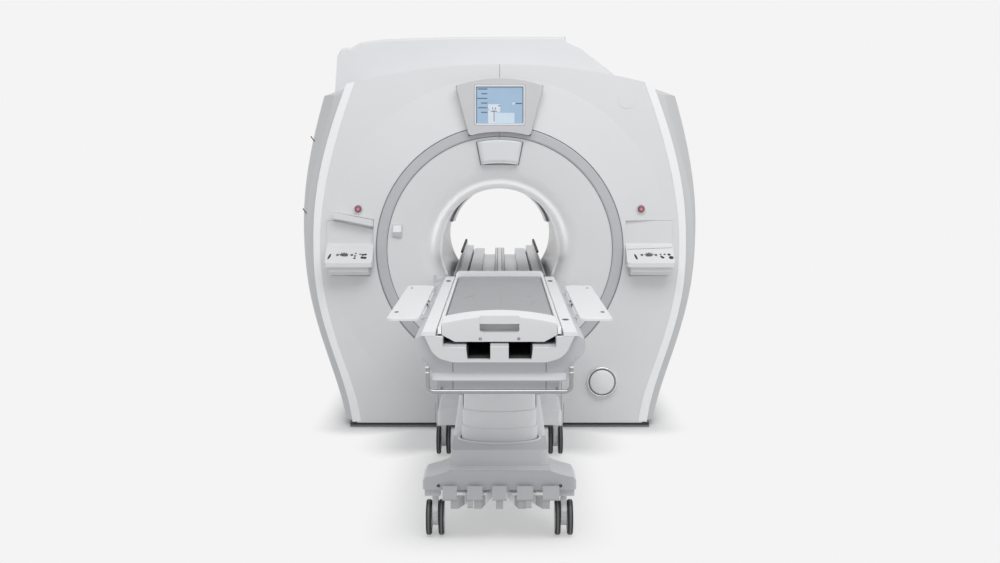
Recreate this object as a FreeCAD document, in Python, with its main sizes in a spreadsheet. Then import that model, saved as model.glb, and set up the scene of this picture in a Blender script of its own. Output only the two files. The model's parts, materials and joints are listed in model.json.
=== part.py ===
"""MRI scanner with a docked patient table.

Millimetres, +Z up, the patient slides in along +Y. Heights are above the floor. Lengths along Y are
counted from the plane of the grey front ring, and "y_face" says where that plane lies in the shared frame,
so that the frame's origin is on the floor under the middle of the whole object.
"""

import math
import os

import FreeCAD
import Part
import Sketcher
from FreeCAD import Vector

os.makedirs("parts", exist_ok=True)
doc = FreeCAD.newDocument("scanner")

# ---------------------------------------------------------------- sizes
SIZES = [
    ("y_face", -289.75, "ring plane in the shared frame"),
    ("iso", 1057.5, "bore axis above the floor"),
    ("bore_r", 350.0, "patient bore"),
    ("tube_wall", 25.0, "bore tube"),
    ("throat_y", 230.0, "where the flare meets the tube"),
    ("rear_gap", 30.0, "between the magnet vessel and the rear cover"),
    ("rear_thick", 100.0, "rear cover and its bell"),
    ("ring_out", 719.0, "grey ring, outer radius"),
    ("ring_in", 659.0, "grey ring, inner radius"),
    ("seam", 3.0, "shadow gaps at the ring"),
    ("crease_r", 997.0, "round crease on the front cover"),
    ("dish", 25.0, "how far the corners lie behind the ring"),
    ("skin", 37.0, "front cover at its corners"),
    ("cover_bottom", 34.0, "lower edge of the covers"),
    ("cover_crown", 2129.0, "top edge of the front cover in the middle"),
    ("cover_side", 2028.0, "top edge of the front cover at its sides"),
    ("side_wall", 35.0, "side covers"),
    ("side_swell_y", 450.0, "where the side covers are widest"),
    ("magnet_r", 900.0, "magnet vessel"),
    ("magnet_in", 480.0, "magnet vessel, warm bore"),
    ("magnet_y", 130.0, "front of the magnet vessel"),
    ("magnet_len", 1340.0, "length of the magnet vessel"),
    ("bezel_top_half", 252.0, "display bezel"),
    ("bezel_low_half", 177.0, "display bezel"),
    ("bezel_top", 2003.0, "display bezel corners"),
    ("bezel_low", 1717.0, "display bezel corners"),
    ("bezel_front", -40.0, "front of the display bezel"),
    ("screen_half", 137.0, "display glass"),
    ("screen_low", 1786.0, "display glass"),
    ("screen_high", 2000.0, "display glass"),
    ("well", 45.0, "floor of the wells in the front cover"),
    ("estop_x", 823.0, "emergency stops"),
    ("estop_z", 1296.0, "emergency stops"),
    ("estop_r", 20.0, "emergency stop button"),
    ("collar_r", 27.0, "emergency stop collar"),
    ("panel_x", 872.0, "middle of a control housing"),
    ("panel_half", 137.0, "half width of a control housing"),
    ("panel_back_z", 1076.0, "upper edge of the sloped key face"),
    ("panel_front_z", 990.0, "lower edge of the sloped key face"),
    ("panel_back_y", -8.0, "upper edge of the sloped key face"),
    ("panel_front_y", -115.0, "lower edge of the sloped key face"),
    ("port_x", 604.0, "round service port"),
    ("port_z", 276.0, "round service port"),
    ("port_r", 72.0, "dome of the service port"),
    ("bridge_half", 272.0, "rails of the bore bridge"),
    ("bridge_end", 2880.0, "rear end of the bore bridge"),
    ("track_drop", 214.5, "track under the cradle runners, below the bore axis"),
    ("rail_up", 62.0, "top of the bridge rails, above the track"),
    ("rib_up", 4.0, "middle rib of the channel, above the track"),
    ("floor_down", 51.0, "floor of the channel, below the track"),
    ("rib_half", 35.0, "middle rib of the channel"),
    ("channel_half", 130.0, "deep part of the channel"),
    ("deck_up", 60.0, "top of the table deck, above the track"),
    ("deck_half", 317.0, "outer edge of the table deck"),
    ("deck_in", 261.0, "inner edge of the table deck"),
    ("table_head", -15.0, "head end of the table"),
    ("table_foot", -2265.0, "foot end of the table"),
    ("cradle_half", 255.0, "cradle"),
    ("cradle_up", 14.0, "underside of the cradle, above the track"),
    ("rim_up", 69.0, "side rim of the cradle, above the track"),
    ("lip_up", 93.0, "head lip of the cradle, above the track"),
    ("cradle_head", -13.0, "head end of the cradle"),
    ("cradle_foot", -2190.0, "foot end of the cradle"),
    ("pad_half", 238.0, "cushion"),
    ("seat_up", 43.0, "underside of the cushion, above the track"),
    ("pad_thick", 22.0, "cushion"),
    ("hood_y", -1908.0, "where the foot panel meets the cushion"),
    ("hood_run", 0.55, "slant of the foot panel, run for each unit of height"),
    ("board_in", 354.0, "arm board, inner edge"),
    ("board_out", 497.0, "arm board, outer edge"),
    ("board_up", 62.0, "top of an arm board, above the track"),
    ("board_thick", 13.0, "arm board"),
    ("board_head", -509.0, "arm board, head end"),
    ("board_foot", -1840.0, "arm board, foot end"),
    ("hinge_x", 353.0, "arm board hinge line"),
    ("hinge_up", 40.0, "arm board hinge line, above the track"),
    ("hinge_r", 4.0, "arm board hinge rod"),
    ("fit", 0.05, "running fit of pins and shafts, on the radius"),
    ("sleeve_half", 160.0, "inner lift sleeve"),
    ("sleeve_front", -1880.0, "inner lift sleeve"),
    ("sleeve_rear", -1040.0, "inner lift sleeve"),
    ("sleeve_bow", 229.0, "bowed ends of the lift sleeves"),
    ("sleeve_corner", 60.0, "rounded corners of the lift sleeves"),
    ("sleeve_step", 4.0, "step from one lift sleeve to the next"),
    ("base_low", 211.0, "underside of the table base"),
    ("base_front", -2120.0, "front of the table base"),
    ("base_half", 325.0, "half width of the table base"),
    ("hub_top", 358.0, "top of the collar round the lift"),
    ("hub_set", 92.0, "collar round the lift, behind the front of the base"),
    ("wing_len", 240.0, "wings of the table base"),
    ("wheel_r", 75.0, "casters"),
    ("trail", 35.0, "casters"),
    ("head_low", 187.0, "underside of the head-end base cover"),
    ("head_front", -760.0, "front of the head-end base cover"),
    ("head_len", 400.0, "head-end base cover"),
    ("caster_x", 274.0, "foot-end casters"),
    ("caster_y", -2017.0, "swivel line of the foot-end casters"),
    ("head_caster_x", 302.0, "head-end casters"),
    ("head_caster_y", -585.0, "swivel line of the head-end casters"),
    ("pedal_z", 196.0, "pedal shaft"),
    ("pedal_y", -2080.0, "pedal shaft"),
    ("handle_half", 291.0, "push handle"),
    ("handle_drop", 177.0, "push handle, below the track"),
    ("handle_y", -2292.0, "push handle"),
    ("handle_r", 8.5, "push handle tube"),
]

sheet = doc.addObject("Spreadsheet::Sheet", "dims")
for number, (alias, value, note) in enumerate(SIZES, start=1):
    sheet.set(f"A{number}", alias)
    sheet.set(f"B{number}", str(value))
    sheet.set(f"C{number}", note)
    sheet.setAlias(f"B{number}", alias)
doc.recompute()


class Size:
    """A number together with the sheet expression that gives it."""

    def __init__(self, value, text):
        self.value = value
        self.text = text

    def __add__(self, other):
        other = as_size(other)
        return Size(self.value + other.value, f"({self.text} + {other.text})")

    def __sub__(self, other):
        other = as_size(other)
        return Size(self.value - other.value, f"({self.text} - {other.text})")

    def __rsub__(self, other):
        return as_size(other) - self

    def __mul__(self, other):
        other = as_size(other)
        return Size(self.value * other.value, f"({self.text} * {other.text})")

    def __truediv__(self, other):
        other = as_size(other)
        return Size(self.value / other.value, f"({self.text} / {other.text})")

    def __neg__(self):
        return Size(-self.value, f"(-1 * {self.text})")

    __radd__ = __add__
    __rmul__ = __mul__


def as_size(number):
    if isinstance(number, Size):
        return number
    return Size(float(number), f"({float(number)})")


def dim(alias):
    return Size(float(sheet.get(alias)), f"dims.{alias}")


def root(number):
    return Size(math.sqrt(number.value), f"sqrt({number.text})")


def bind(target, path, number):
    """Sets a property, through an expression where the number comes from the sheet."""
    number = as_size(number)
    target.setExpression(path, number.text)


# ---------------------------------------------------------------- drawing tools
PLANES = {"front": "XZ_Plane", "side": "YZ_Plane", "top": "XY_Plane"}
NODES = []


def body(label, x=0, y=0, z=0):
    """A named sub-part with its own origin, y counted from the ring plane."""
    made = doc.addObject("PartDesign::Body", label)
    made.Label = label
    bind(made, "Placement.Base.x", x)
    bind(made, "Placement.Base.y", dim("y_face") + y)
    bind(made, "Placement.Base.z", z)
    NODES.append(made)
    return made


def origin(owner, role):
    return next(f for f in owner.Origin.OriginFeatures if f.Role == role)


def sketch(owner, view, at=0, name="Outline"):
    """An empty sketch on the body's own front, side or top plane, moved to the given coordinate."""
    made = owner.newObject("Sketcher::SketchObject", name)
    made.AttachmentSupport = [(origin(owner, PLANES[view]), "")]
    made.MapMode = "FlatFace"
    bind(made, "AttachmentOffset.Base.z", -as_size(at) if view == "front" else at)
    return made


def pin(drawing, geometry, end, point):
    """Holds one end of an edge at a point, each coordinate by its own bound constraint."""
    for kind, number in zip(("DistanceX", "DistanceY"), point):
        number = as_size(number)
        row = drawing.addConstraint(
            Sketcher.Constraint(kind, -1, 1, geometry, end, number.value)
        )
        if "dims." in number.text:
            drawing.setExpression(f"Constraints[{row}]", number.text)


def flat(point):
    return Vector(as_size(point[0]).value, as_size(point[1]).value, 0)


def outline(drawing, points, bends=None):
    """A closed chain through the points. bends maps an edge number to a radius (an arc that turns
    left when positive) or to a list of points (a smooth curve through them)."""
    bends = bends or {}
    ends = []
    for number, start in enumerate(points):
        a, b = flat(start), flat(points[(number + 1) % len(points)])
        bend = bends.get(number)
        if bend is None:
            ends.append((drawing.addGeometry(Part.LineSegment(a, b)), 1, 2))
        elif isinstance(bend, list):
            curve = Part.BSplineCurve()
            curve.interpolate([a] + [flat(p) for p in bend] + [b])
            ends.append((drawing.addGeometry(curve), 1, 2))
        else:
            radius = as_size(bend)
            size = abs(radius.value)
            chord = b - a
            height = math.sqrt(max(size**2 - (chord.Length / 2) ** 2, 0))
            side = Vector(-chord.y, chord.x, 0).normalize()
            if radius.value < 0:
                side = side.negative()
            middle = (a + b) * 0.5 + side * height
            first, last = (a, b) if radius.value > 0 else (b, a)
            angles = [math.atan2(p.y - middle.y, p.x - middle.x) for p in (first, last)]
            circle = Part.Circle(middle, Vector(0, 0, 1), size)
            edge = drawing.addGeometry(Part.ArcOfCircle(circle, angles[0], angles[1]))
            row = drawing.addConstraint(Sketcher.Constraint("Radius", edge, size))
            text = radius.text if radius.value > 0 else f"(-1 * {radius.text})"
            drawing.setExpression(f"Constraints[{row}]", text)
            ends.append((edge, 1, 2) if radius.value > 0 else (edge, 2, 1))
    for number, point in enumerate(points):
        edge, first, _ = ends[number]
        before, _, last = ends[number - 1]
        drawing.addConstraint(Sketcher.Constraint("Coincident", before, last, edge, first))
        pin(drawing, edge, first, point)
    return drawing


def circle(drawing, centre, radius):
    radius = as_size(radius)
    edge = drawing.addGeometry(Part.Circle(flat(centre), Vector(0, 0, 1), radius.value))
    row = drawing.addConstraint(Sketcher.Constraint("Radius", edge, radius.value))
    drawing.setExpression(f"Constraints[{row}]", radius.text)
    pin(drawing, edge, 3, centre)
    return drawing


def box_outline(drawing, x0, x1, y0, y1):
    return outline(drawing, [(x0, y0), (x1, y0), (x1, y1), (x0, y1)])


def round_box(drawing, x0, x1, y0, y1, radius):
    """A rectangle with four round corners."""
    return outline(
        drawing,
        [
            (x0 + radius, y0),
            (x1 - radius, y0),
            (x1, y0 + radius),
            (x1, y1 - radius),
            (x1 - radius, y1),
            (x0 + radius, y1),
            (x0, y1 - radius),
            (x0, y0 + radius),
        ],
        {1: radius, 3: radius, 5: radius, 7: radius},
    )


def mirrored(points):
    """A right-hand half, listed from one end of the centre line to the other, made whole."""
    return points + [(-as_size(x), y) for x, y in reversed(points) if as_size(x).value != 0]


def solid(owner, drawing, length, kind="Pad", flip=False, taper=0):
    """A pad or pocket that grows along the positive axis of its view, or the other way with flip."""
    made = owner.newObject(f"PartDesign::{kind}", kind)
    made.Profile = drawing
    bind(made, "Length", length)
    on_front = drawing.AttachmentSupport[0][0].Role == "XZ_Plane"
    made.Reversed = (on_front != (kind == "Pocket")) != flip
    made.TaperAngle = taper
    drawing.Visibility = False
    return made


def turned(owner, drawing, axis, kind="Revolution", angle=360, middle=False):
    made = owner.newObject(f"PartDesign::{kind}", kind)
    made.Profile = drawing
    made.ReferenceAxis = (origin(owner, axis), [""])
    made.Angle = angle
    made.Midplane = middle
    drawing.Visibility = False
    return made


def loft(owner, drawings, ruled=False):
    made = owner.newObject("PartDesign::AdditiveLoft", "Loft")
    made.Profile = drawings[0]
    made.Sections = drawings[1:]
    made.Ruled = ruled
    for drawing in drawings:
        drawing.Visibility = False
    return made


def runs_along(edge, axis):
    if not isinstance(edge.Curve, Part.Line):
        return False
    return abs(abs(edge.Curve.Direction.dot(axis)) - 1) < 1e-6


def dress(owner, kind, size, picks):
    """A fillet or chamfer on the edges of the tip that the picks test chooses."""
    doc.recompute()
    before = owner.Tip
    names = [f"Edge{n}" for n, e in enumerate(before.Shape.Edges, start=1) if picks(e)]
    if not names:
        raise RuntimeError(f"no edge to dress on {owner.Label}")
    made = owner.newObject(f"PartDesign::{kind}", kind)
    made.Base = (before, names)
    bind(made, "Radius" if kind == "Fillet" else "Size", size)
    return made


X, Y, Z = Vector(1, 0, 0), Vector(0, 1, 0), Vector(0, 0, 1)
ISO = dim("iso")
TRACK = ISO - dim("track_drop")
RAIL_TOP = TRACK + dim("rail_up")
RIB_TOP = TRACK + dim("rib_up")
CHANNEL_FLOOR = TRACK - dim("floor_down")
DECK_TOP = TRACK + dim("deck_up")
CRADLE_LOW = TRACK + dim("cradle_up")
RIM_TOP = TRACK + dim("rim_up")
LIP_TOP = TRACK + dim("lip_up")
PAD_SEAT = TRACK + dim("seat_up")
PAD_TOP = PAD_SEAT + dim("pad_thick")
BOARD_TOP = TRACK + dim("board_up")
HINGE_Z = TRACK + dim("hinge_up")
EAVE = dim("cover_side")
REAR_Y = dim("magnet_y") + dim("magnet_len") + dim("rear_gap")


def above(rise):
    """A height of the table or the bridge, counted from the track under the cradle."""
    return TRACK + rise


# ---------------------------------------------------------------- gantry outlines
# Half widths of the gantry at these heights, bottom to top.
HEIGHTS = (34, 160, 460, 820, 1115, 1290, 1695)
COVER_EDGE = (823, 845, 942, 1031, 1050, 1036, 949)
STRIPE_EDGE = (873, 895, 986, 1075, 1089, 1080, 998)
SIDE_FRONT = (916, 944, 1036, 1123, 1142, 1133, 1036)
SIDE_SWELL = (946, 974, 1072, 1165, 1190, 1189, 1131)
COVER_TOP_HALF = 836
STRIPE_WIDE = 48


def edge_points(widths, side=1, drop=0, inset=0):
    """The points of one edge of the gantry, from the bottom up."""
    return [(side * (w - inset), h - drop) for w, h in zip(widths, HEIGHTS)]


# front cover: a flat moulding with a shallow cone that rises to the ring
cover = body("front_cover", z=ISO)
right = edge_points(COVER_EDGE, drop=ISO)
left = edge_points(COVER_EDGE, side=-1, drop=ISO)
top_z = EAVE - ISO
rise = dim("cover_crown") - EAVE
crown_r = (rise * rise + COVER_TOP_HALF**2) / (rise * 2)
face = sketch(cover, "front", dim("dish"))
outline(
    face,
    [left[0], right[0], (COVER_TOP_HALF, top_z), (-COVER_TOP_HALF, top_z)],
    {1: right[1:], 2: crown_r, 3: list(reversed(left[1:]))},
)
solid(cover, face, dim("skin"))
cone = sketch(cover, "side")
outline(
    cone,
    [
        (0, dim("ring_out") + dim("seam")),
        (dim("dish") + 5, dim("ring_out") + dim("seam")),
        (dim("dish") + 5, dim("crease_r")),
        (dim("dish"), dim("crease_r")),
    ],
)
turned(cover, cone, "Y_Axis")
solid(cover, circle(sketch(cover, "front", -20), (0, 0), dim("ring_out") + dim("seam")), 120, "Pocket")


WELL_START = -60


def well(owner, drawing):
    """A flat-bottomed well for a part that is let in from the front."""
    return solid(owner, drawing, dim("well") - WELL_START, "Pocket")


def bezel_outline(drawing, grow):
    """The display bezel: arched above, hollowed below so that it follows the ring."""
    top, low = dim("bezel_top_half") + grow, dim("bezel_low_half") + grow
    high, base = dim("bezel_top") - ISO + grow, dim("bezel_low") - ISO - grow
    return outline(
        drawing,
        [(-low, base), (low, base), (top, high), (-top, high)],
        {0: -684.0, 2: 745.0},
    )


PANEL_STEP = 22
CONSOLE_LOW = dim("panel_front_z") - 24
PANEL_HIGH = 1228
PANEL_LOW = 905


def panel_well(side):
    """The opening for a control housing, narrower round the box beneath it."""
    middle = dim("panel_x") * side
    wide = dim("panel_half") + 1
    narrow = wide - PANEL_STEP
    base, sill, high = PANEL_LOW - 1 - ISO, CONSOLE_LOW - 1 - ISO, PANEL_HIGH + 1 - ISO
    return outline(
        sketch(cover, "front", WELL_START),
        [
            (middle - narrow, base),
            (middle + narrow, base),
            (middle + narrow, sill),
            (middle + wide, sill),
            (middle + wide, high),
            (middle - wide, high),
            (middle - wide, sill),
            (middle - narrow, sill),
        ],
    )


well(cover, bezel_outline(sketch(cover, "front", WELL_START), 1))
well(cover, panel_well(-1))
well(cover, panel_well(1))
ledge_well = sketch(cover, "front", WELL_START)
outline(
    ledge_well,
    [
        (-dim("panel_x") - 96, 1243 - ISO),
        (-dim("panel_x") + dim("panel_half") + 1, 1196 - ISO),
        (-dim("panel_x") + dim("panel_half") + 1, 1235 - ISO),
        (-dim("panel_x") - 96, 1277 - ISO),
    ],
)
well(cover, ledge_well)
for side in (-1, 1):
    spot = (dim("estop_x") * side, dim("estop_z") - ISO)
    well(cover, circle(sketch(cover, "front", WELL_START), spot, dim("collar_r") + 0.5))
port_place = (dim("port_x"), dim("port_z") - ISO)
boss = circle(sketch(cover, "front", 4), port_place, dim("port_r") + 14)
solid(cover, boss, dim("dish") + 10)
well(cover, circle(sketch(cover, "front", WELL_START), port_place, dim("port_r") + 2))
dock_half = 376
well(cover, box_outline(sketch(cover, "front", WELL_START), -dock_half - 1, dock_half + 1, 30 - ISO, 331 - ISO))
badge = circle(sketch(cover, "front", dim("dish") - 2), (736, EAVE - 104 - ISO), 49)
solid(cover, badge, 6)

# grey ring between the front cover and the bore flare
ring = body("ring_trim", z=ISO)
band = sketch(ring, "side")
outline(
    band,
    [
        (1, dim("ring_in")),
        (42, dim("ring_in")),
        (42, dim("ring_out")),
        (1, dim("ring_out")),
        (-3, dim("ring_out") - 8),
        (-3, dim("ring_in") + 8),
    ],
)
turned(ring, band, "Y_Axis")
solid(ring, bezel_outline(sketch(ring, "front", -20), 1), 80, "Pocket")

# bore flare: the white funnel inside the ring
flare = body("bore_flare", z=ISO)
lip = dim("ring_in") - dim("seam")
funnel = sketch(flare, "side")
outline(
    funnel,
    [
        (3, lip),
        (32, 470),
        (dim("throat_y"), dim("bore_r")),
        (dim("throat_y") + 10, dim("bore_r")),
        (dim("throat_y") + 10, dim("bore_r") + dim("tube_wall")),
        (dim("magnet_y"), dim("magnet_in")),
        (dim("magnet_y"), dim("magnet_in") + 70),
        (78, dim("magnet_in") + 85),
        (78, lip),
    ],
    {1: [(62, 408), (132, 366)]},
)
turned(flare, funnel, "Y_Axis")


def landmark_outline(drawing, grow):
    return outline(
        drawing,
        [
            (-(107 + grow), 1551 - ISO - grow),
            (107 + grow, 1551 - ISO - grow),
            (133 + grow, 1683 - ISO + grow),
            (-(133 + grow), 1683 - ISO + grow),
        ],
        {2: dim("ring_in") - dim("seam")},
    )


BLOCK_X = (-622, -570)
BLOCK_HEIGHTS = (1133, 1202)


def block_outline(drawing, grow):
    low, high = BLOCK_HEIGHTS
    return box_outline(drawing, BLOCK_X[0] - grow, BLOCK_X[1] + grow, low - ISO - grow, high - ISO + grow)


well(flare, landmark_outline(sketch(flare, "front", WELL_START), 1))
well(flare, block_outline(sketch(flare, "front", WELL_START), 1))

# bore tube, with a thicker upper liner near the rear end
tube = body("bore_tube", z=ISO)
wall = sketch(tube, "side")
inner = dim("bore_r")
outer = inner + dim("tube_wall")
box_outline(wall, dim("throat_y") + 10, REAR_Y, inner, outer)
turned(tube, wall, "Y_Axis")
liner = sketch(tube, "side")
outline(
    liner,
    [
        (REAR_Y - 220, inner + 5),
        (REAR_Y - 200, inner - 16),
        (REAR_Y, inner - 28),
        (REAR_Y, inner + 5),
    ],
)
turned(tube, liner, "Y_Axis", angle=149, middle=True)

# white stripes down both edges of the front cover
stripes = body("edge_stripes")
for side in (1, -1):
    stripe_in = edge_points(COVER_EDGE, side)
    stripe_out = edge_points(STRIPE_EDGE, side)
    strip = sketch(stripes, "front", dim("dish") - 3)
    top_out = (side * (COVER_TOP_HALF + STRIPE_WIDE), EAVE - 10)
    top_in = (side * COVER_TOP_HALF, EAVE)
    outline(
        strip,
        [stripe_in[0], stripe_out[0], top_out, top_in],
        {1: stripe_out[1:], 3: list(reversed(stripe_in[1:]))},
    )
    solid(stripes, strip, dim("skin") + 3)


def side_section(owner, at, widths, top_out, top_in, shrink=0.0):
    """One slice of a side cover: a curved wall, closed over the shoulder."""
    outside = edge_points(widths, inset=shrink)
    inside = edge_points(widths, inset=dim("side_wall") + shrink)
    drawing = sketch(owner, "front", at)
    corner, crest = top_out, top_in
    return outline(
        drawing,
        [
            inside[0],
            outside[0],
            (corner[0] - shrink, corner[1]),
            (crest[0], crest[1]),
            (crest[0], crest[1] - 60),
            (corner[0] - dim("side_wall") - 12 - shrink, corner[1] - 60),
        ],
        {1: outside[1:], 5: list(reversed(inside[1:]))},
    )


def shoulder(out, down):
    """A point of a side cover's upper edge, counted from the top corner of the front cover."""
    return (COVER_TOP_HALF + out, EAVE - down)


# side covers: a chamfered front edge, then a wall that swells outwards and tapers to the rear
side_right = body("side_cover_right")
front_y = dim("dish") + dim("skin")
swell_y = dim("side_swell_y")
lead = side_section(side_right, front_y, STRIPE_EDGE, shoulder(69, 63), shoulder(0, 10))
nose = side_section(side_right, front_y + 33, SIDE_FRONT, shoulder(126, 73), shoulder(0, 2))
loft(side_right, [lead, nose], ruled=True)
between = [round(a + 0.75 * (b - a)) for a, b in zip(SIDE_FRONT, SIDE_SWELL)]
swell = [
    side_section(side_right, front_y + 33, SIDE_FRONT, shoulder(126, 73), shoulder(0, 2)),
    side_section(side_right, swell_y * 0.55, between, shoulder(200, 69), shoulder(0, -4)),
    side_section(side_right, swell_y, SIDE_SWELL, shoulder(222, 68), shoulder(0, -8)),
]
loft(side_right, swell)
taper_off = [
    side_section(side_right, swell_y, SIDE_SWELL, shoulder(222, 68), shoulder(0, -8)),
    side_section(side_right, REAR_Y - 500, SIDE_SWELL, shoulder(222, 68), shoulder(0, -8), 6),
    side_section(side_right, REAR_Y, SIDE_SWELL, shoulder(222, 68), shoulder(0, -8), 46),
]
loft(side_right, taper_off, ruled=True)

side_left = doc.addObject("Part::Mirroring", "side_cover_left")
side_left.Label = "side_cover_left"
side_left.Source = side_right
side_left.Normal = X
NODES.append(side_left)

# top housing: the roof of the gantry and the raised, lopsided box on it
roof = body("top_housing")
slab = sketch(roof, "front", front_y)
slab_half, slab_low, slab_high = COVER_TOP_HALF, EAVE - 38, EAVE - 8
outline(
    slab,
    [(-slab_half, slab_low), (slab_half, slab_low), (slab_half, slab_high), (-slab_half, slab_high)],
    {2: crown_r},
)
solid(roof, slab, REAR_Y - front_y)
ROOF_Y = 420.0
raised = sketch(roof, "front", ROOF_Y)
outline(
    raised,
    [
        (-COVER_TOP_HALF - 167, EAVE - 47),
        (-COVER_TOP_HALF - 2, EAVE + 10),
        (690, EAVE + 16),
        (690, EAVE + 70),
        (490, EAVE + 220),
        (400, EAVE + 262),
        (400, EAVE + 293),
        (0, EAVE + 293),
        (-700, EAVE + 278),
        (-838, EAVE + 260),
        (-905, EAVE + 224),
        (-968, EAVE + 210),
        (-986, EAVE + 177),
    ],
    {7: [(-350, EAVE + 289)], 10: 60.0},
)
solid(roof, raised, REAR_Y - ROOF_Y - 50)
dress(
    roof,
    "Fillet",
    14,
    lambda e: abs(e.BoundBox.YLength) < 1e-6
    and abs(e.BoundBox.Center.y - ROOF_Y) < 1
    and e.BoundBox.ZMin > EAVE.value + 72
    and e.BoundBox.XMax < 401
    and e.BoundBox.ZLength < 80,
)

# rear cover with the rear bell of the bore
rear = body("rear_cover", z=ISO)
back = sketch(rear, "front", REAR_Y)
rear_right = edge_points(SIDE_SWELL, drop=ISO, inset=52)
rear_left = edge_points(SIDE_SWELL, side=-1, drop=ISO, inset=52)
outline(
    back,
    [
        rear_left[0],
        rear_right[0],
        (COVER_TOP_HALF + 164, EAVE - 73 - ISO),
        (COVER_TOP_HALF + 24, EAVE + 2 - ISO),
        (-COVER_TOP_HALF - 24, EAVE + 2 - ISO),
        (-COVER_TOP_HALF - 164, EAVE - 73 - ISO),
    ],
    {1: rear_right[1:], 5: list(reversed(rear_left[1:]))},
)
solid(rear, back, dim("rear_thick") - 40)
bell = sketch(rear, "side")
outline(
    bell,
    [
        (REAR_Y, dim("bore_r")),
        (REAR_Y + dim("rear_thick") - 30, dim("bore_r")),
        (REAR_Y + dim("rear_thick"), dim("bore_r") + 40),
        (REAR_Y + dim("rear_thick"), dim("bore_r") + 110),
        (REAR_Y + 20, dim("bore_r") + 190),
        (REAR_Y, dim("bore_r") + 190),
    ],
    {1: 40.0},
)
turned(rear, bell, "Y_Axis")
bore_cut = circle(sketch(rear, "front", REAR_Y - 5), (0, 0), dim("bore_r"))
solid(rear, bore_cut, 200, "Pocket")

# recessed dark plinth that carries the covers
plinth = body("base_plinth")
solid(
    plinth,
    box_outline(sketch(plinth, "top"), -888, 888, dim("dish") + 8, REAR_Y + 40),
    dim("cover_bottom"),
)

# magnet vessel on its two feet
magnet = body("magnet", z=ISO)
vessel = sketch(magnet, "side")
box_outline(
    vessel,
    dim("magnet_y"),
    dim("magnet_y") + dim("magnet_len"),
    dim("magnet_in"),
    dim("magnet_r"),
)
turned(magnet, vessel, "Y_Axis")
for side in (1, -1):
    foot = sketch(magnet, "front", dim("magnet_y") + 130)
    box_outline(foot, side * 380, side * 600, dim("cover_bottom") - ISO, -600)
    solid(magnet, foot, dim("magnet_len") - 260)

# gradient and body coils, one cast sleeve between the magnet and the bore tube
coil = body("gradient_coil", z=ISO)
winding = sketch(coil, "side")
coil_rear = dim("magnet_y") + dim("magnet_len") - 120
box_outline(winding, dim("magnet_y") + 140, coil_rear, dim("bore_r") + dim("tube_wall"), dim("magnet_in"))
turned(coil, winding, "Y_Axis")

# ---------------------------------------------------------------- things on the front cover
bezel = body("display_bezel", z=ISO)
solid(bezel, bezel_outline(sketch(bezel, "front", dim("bezel_front")), 0), dim("well") - dim("bezel_front"))
dress(
    bezel,
    "Fillet",
    18,
    lambda e: runs_along(e, Y) and e.BoundBox.ZMin > 900,
)
dress(bezel, "Chamfer", 4, lambda e: e.BoundBox.YMax < -39.9)


def screen_outline(drawing, grow):
    half = dim("screen_half") + grow
    return box_outline(
        drawing, -half, half, dim("screen_low") - ISO - grow, dim("screen_high") - ISO + grow
    )


solid(bezel, screen_outline(sketch(bezel, "front", dim("bezel_front") - 5), 0), 15, "Pocket")

screen = body("display_screen", z=ISO)
solid(screen, screen_outline(sketch(screen, "front", dim("bezel_front") + 1), -0.5), 9)

landmark = body("landmark_light", z=ISO)
solid(landmark, landmark_outline(sketch(landmark, "front", -10), 0), dim("well") + 10)
raised_face = sketch(landmark, "front", -26)
outline(
    raised_face,
    [(-88, 1567 - ISO), (88, 1567 - ISO), (112, 1676 - ISO), (-112, 1676 - ISO)],
    {0: -260.0, 2: 642.0},
)
solid(landmark, raised_face, 20)
dress(landmark, "Chamfer", 4, lambda e: e.BoundBox.YMax < -25.9)

disc_block = body("disc_block", z=ISO)
nose_side = sketch(disc_block, "side", BLOCK_X[0])
outline(
    nose_side,
    [
        (dim("well"), BLOCK_HEIGHTS[0] - ISO),
        (-1, BLOCK_HEIGHTS[0] - ISO),
        (-23, BLOCK_HEIGHTS[0] + 30 - ISO),
        (-6, BLOCK_HEIGHTS[1] - ISO),
        (dim("well"), BLOCK_HEIGHTS[1] - ISO),
    ],
)
solid(disc_block, nose_side, BLOCK_X[1] - BLOCK_X[0])
dress(disc_block, "Fillet", 4, lambda e: e.BoundBox.YMax < 0)

collars = body("estop_collars")
for side in (1, -1):
    rim = sketch(collars, "front", 2)
    circle(rim, (dim("estop_x") * side, dim("estop_z")), dim("collar_r"))
    circle(rim, (dim("estop_x") * side, dim("estop_z")), dim("estop_r") + 1)
    solid(collars, rim, dim("well") - 2)
    plug = circle(sketch(collars, "front", 30), (dim("estop_x") * side, dim("estop_z")), dim("estop_r") + 2)
    solid(collars, plug, dim("well") - 30)

for side, label in ((-1, "estop_left"), (1, "estop_right")):
    button = body(label, x=dim("estop_x") * side, z=dim("estop_z"))
    knob = sketch(button, "side")
    outline(
        knob,
        [(-8, 0), (20, 0), (20, dim("estop_r")), (-3, dim("estop_r")), (-8, dim("estop_r") - 6)],
        {3: 9.0},
    )
    turned(button, knob, "Y_Axis")

port = body("port_dome", x=dim("port_x"), z=dim("port_z"))
dome = sketch(port, "side")
brow = dim("port_r") - 8
DOME_RISE = 10.0
outline(
    dome,
    [(-24, 0), (dim("well"), 0), (dim("well"), dim("port_r")), (-6, dim("port_r")), (-14, brow)],
    {3: 12.0, 4: (brow * brow + DOME_RISE**2) / (2 * DOME_RISE)},
)
turned(port, dome, "Y_Axis")

# control housings: a backing plate, a sloped key face and a narrower box beneath
face_y = dim("panel_front_y") - dim("panel_back_y")
face_z = dim("panel_front_z") - dim("panel_back_z")
TILT = math.degrees(math.atan2(-face_z.value, -face_y.value))


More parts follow.
